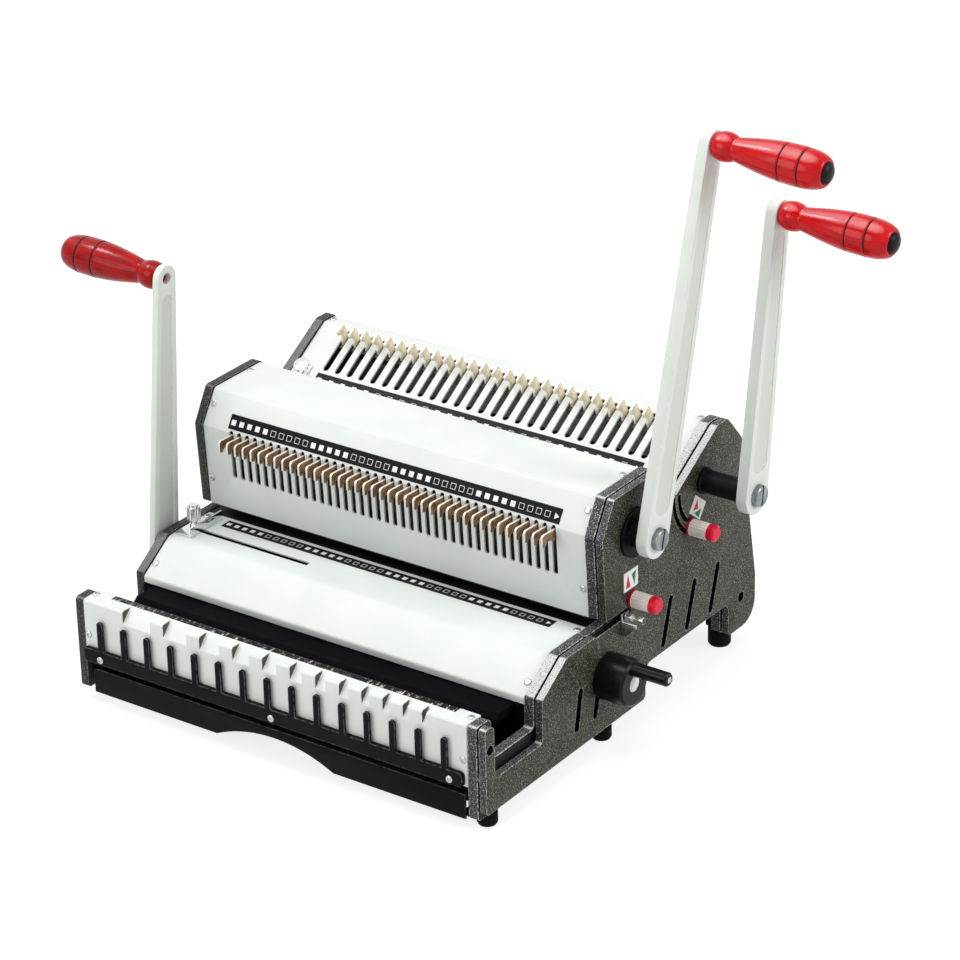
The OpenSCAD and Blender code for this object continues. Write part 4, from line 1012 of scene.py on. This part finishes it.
def markTags(s):
    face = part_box("side_tags")[1].x - s["sunk"]
    for name, marks in tagMarks.items():
        outlines = []
        for tag, corners in marks:
            y0, z0 = tagMiddles[tag]
            outlines.append([at(0, y0 + y, z0 + z)[1:] for y, z in corners])
        mesh = prismMesh(name, outlines, face, s["thick"])
        addPiece(name, mesh, "frame", "tag_film", material=extraMaterials[tagInks[name]])


markTags(tagFilm)

sideways = Vector((1, 0, 0))
crankTrim = {  # mm
    "axis": (0, 168.8, 67.4), "recess": 1.2, "sunk": 0.3, "discRings": 48, "screwRings": 32, "smooth": 30.0,
    "disc": ((0.0, 0.0), (0.0, 7.2), (0.54, 7.2), (0.9, 6.6), (1.15, 0.0)),
    "screw": ((0.0, 0.0), (0.0, 2.6), (0.5, 2.6), (1.0, 1.8), (1.15, 0.9), (0.6, 0.7), (0.6, 0.0)),
}


def trimCrank(s):
    hub, (low, high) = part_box("gap_crank")[1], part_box("gap_grip")
    middle = at(*s["axis"])
    middle.x = hub.x - s["recess"] / 1000
    disc = latheMesh("crankDisc", s["disc"], middle, sideways, s["discRings"])
    addPiece("gap_crank_disc", disc, "gap_setting", "tag_film", smooth=s["smooth"])
    end = Vector((high.x - s["sunk"] / 1000, (low.y + high.y) / 2, (low.z + high.z) / 2))
    screw = latheMesh("gripScrew", s["screw"], end, sideways, s["screwRings"])
    addPiece("gap_grip_screw", screw, "gap_setting", "screw_steel", smooth=s["smooth"])


trimCrank(crankTrim)

slotChannel = {  # mm from the guide's middle, itself given from the low corner of the guide's box
    "middle": (10.0, 17.0), "before": 8.0, "after": 124.0, "half": 8.5, "wall": 0.6,
    "clear": 0.8, "rise": 2.7,
}


def lineSlot(s):
    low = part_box("deck_guide")[0]
    x, y = low.x + s["middle"][0] / 1000, low.y + s["middle"][1] / 1000
    z = low.z - s["clear"] / 1000  # under the shoe that runs below the slot
    half, wall, top = s["half"], s["wall"], s["clear"] + s["rise"]
    inner = half - wall
    section = [
        (-half, -wall), (half, -wall), (half, top), (inner, top),
        (inner, 0), (-inner, 0), (-inner, top), (-half, top),
    ]
    outline = [(y + across / 1000, z + up / 1000) for across, up in section]
    mesh = prismMesh("slotChannel", [outline], x - s["before"] / 1000, (s["before"] + s["after"]) / 1000)
    body, finish = bodyOf("deck_panel"), extraMaterials["wellShadeBlack"]
    addPiece("deck_slot_channel", mesh, body, "black_paint", material=finish)


lineSlot(slotChannel)

knobBand = {  # mm, along and out from a point behind the cap
    "back": 19.0, "profile": ((0.7, 6.9), (0.7, 7.4), (2.5, 7.4), (2.5, 6.9), (0.7, 6.9)),
    "rings": 48, "smooth": 35.0,
}


def bandKnob(capName, s):
    low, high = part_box(capName)
    start = Vector((low.x - s["back"] / 1000, (low.y + high.y) / 2, (low.z + high.z) / 2))
    band = latheMesh("knobBand", s["profile"], start, sideways, s["rings"])
    addPiece(capName.replace("_cap", "_band"), band, bodyOf(capName), "cap_red", smooth=s["smooth"])


for capName in ("front_depth_cap", "rear_depth_cap"):
    bandKnob(capName, knobBand)
print("stage: tags, crank, slot and knobs dressed")

# floor and light

studio = {
    "floorLift": -0.0003, "floorSize": 12.0, "plain": (0.82, 0.82, 0.82), "shadowed": (0.34, 0.34, 0.34),
    "glow": 0.8, "lighten": (0.75, 2.2), "sky": 0.37, "white": (1, 1, 1),
}


def seenMix(tree, hidden, seen, outputKind):  # seen: what the camera, metal and glass see
    path = tree.nodes.new("ShaderNodeLightPath").outputs
    rays = mathNode(tree, "MAXIMUM", path["Is Camera Ray"], path["Is Glossy Ray"])
    rays = mathNode(tree, "MAXIMUM", rays, path["Is Transmission Ray"])
    mix = addNode(tree, "ShaderNodeMixShader", {0: rays, 1: hidden.outputs[0], 2: seen.outputs[0]})
    addNode(tree, outputKind, {"Surface": mix.outputs[0]})


def buildFloor(s):
    half, z = s["floorSize"] / 2, s["floorLift"]
    mesh = bpy.data.meshes.new("floor")
    corners = [(-half, -half, z), (half, -half, z), (half, half, z), (-half, half, z)]
    mesh.from_pydata(corners, [], [(0, 1, 2, 3)])
    floor = bpy.data.objects.new("floor", mesh)
    scene.collection.objects.link(floor)
    material = bpy.data.materials.new("paleFloor")
    material.use_nodes = True
    tree = material.node_tree
    tree.nodes.clear()
    plain = addNode(tree, "ShaderNodeBsdfDiffuse", {"Color": s["plain"]})
    shadowed = addNode(tree, "ShaderNodeBsdfDiffuse", {"Color": s["shadowed"]})
    away = addNode(tree, "ShaderNodeVectorMath", {0: objectPlace(tree)}, operation="LENGTH")
    lighten = rampNode(tree, away.outputs["Value"], *s["lighten"], s["glow"], 1.0)  # white far from the machine
    glow = addNode(tree, "ShaderNodeEmission", {"Color": lighten})
    both = addNode(tree, "ShaderNodeAddShader", {0: shadowed.outputs[0], 1: glow.outputs[0]})
    seenMix(tree, plain, both, "ShaderNodeOutputMaterial")
    mesh.materials.append(material)


def buildSky(s):
    world = bpy.data.worlds.new("studio")
    scene.world = world
    world.use_nodes = True
    tree = world.node_tree
    tree.nodes.clear()
    dim = addNode(tree, "ShaderNodeBackground", {"Color": s["white"], "Strength": s["sky"]})
    bright = addNode(tree, "ShaderNodeBackground", {"Color": s["white"], "Strength": 1.0})
    seenMix(tree, dim, bright, "ShaderNodeOutputWorld")


lamps = (  # name, place, aimed at, width, power
    ("topBox", (0.0, -0.2, 2.3), (0, 0, 0.15), 1.6, 21.0),
    ("leftKey", (-1.25, -0.25, 2.1), (0, 0, 0.2), 0.55, 15.0),
    ("rightBack", (2.0, 0.6, 1.2), (0, 0, 0.2), 1.0, 20.0),
    ("frontFill", (-0.9, -2.2, 1.2), (0, 0, 0.15), 1.6, 18.5),
)


def buildLamps():
    for name, place, aim, width, power in lamps:
        data = bpy.data.lights.new(name, "AREA")
        data.shape = "ELLIPSE"
        data.size = data.size_y = width
        data.energy = power
        lamp = bpy.data.objects.new(name, data)
        scene.collection.objects.link(lamp)
        lamp.location = place
        lamp.rotation_mode = "QUATERNION"
        lamp.rotation_quaternion = (Vector(aim) - Vector(place)).to_track_quat("-Z", "Y")


buildFloor(studio)
buildSky(studio)
buildLamps()
print("stage: floor and light set")
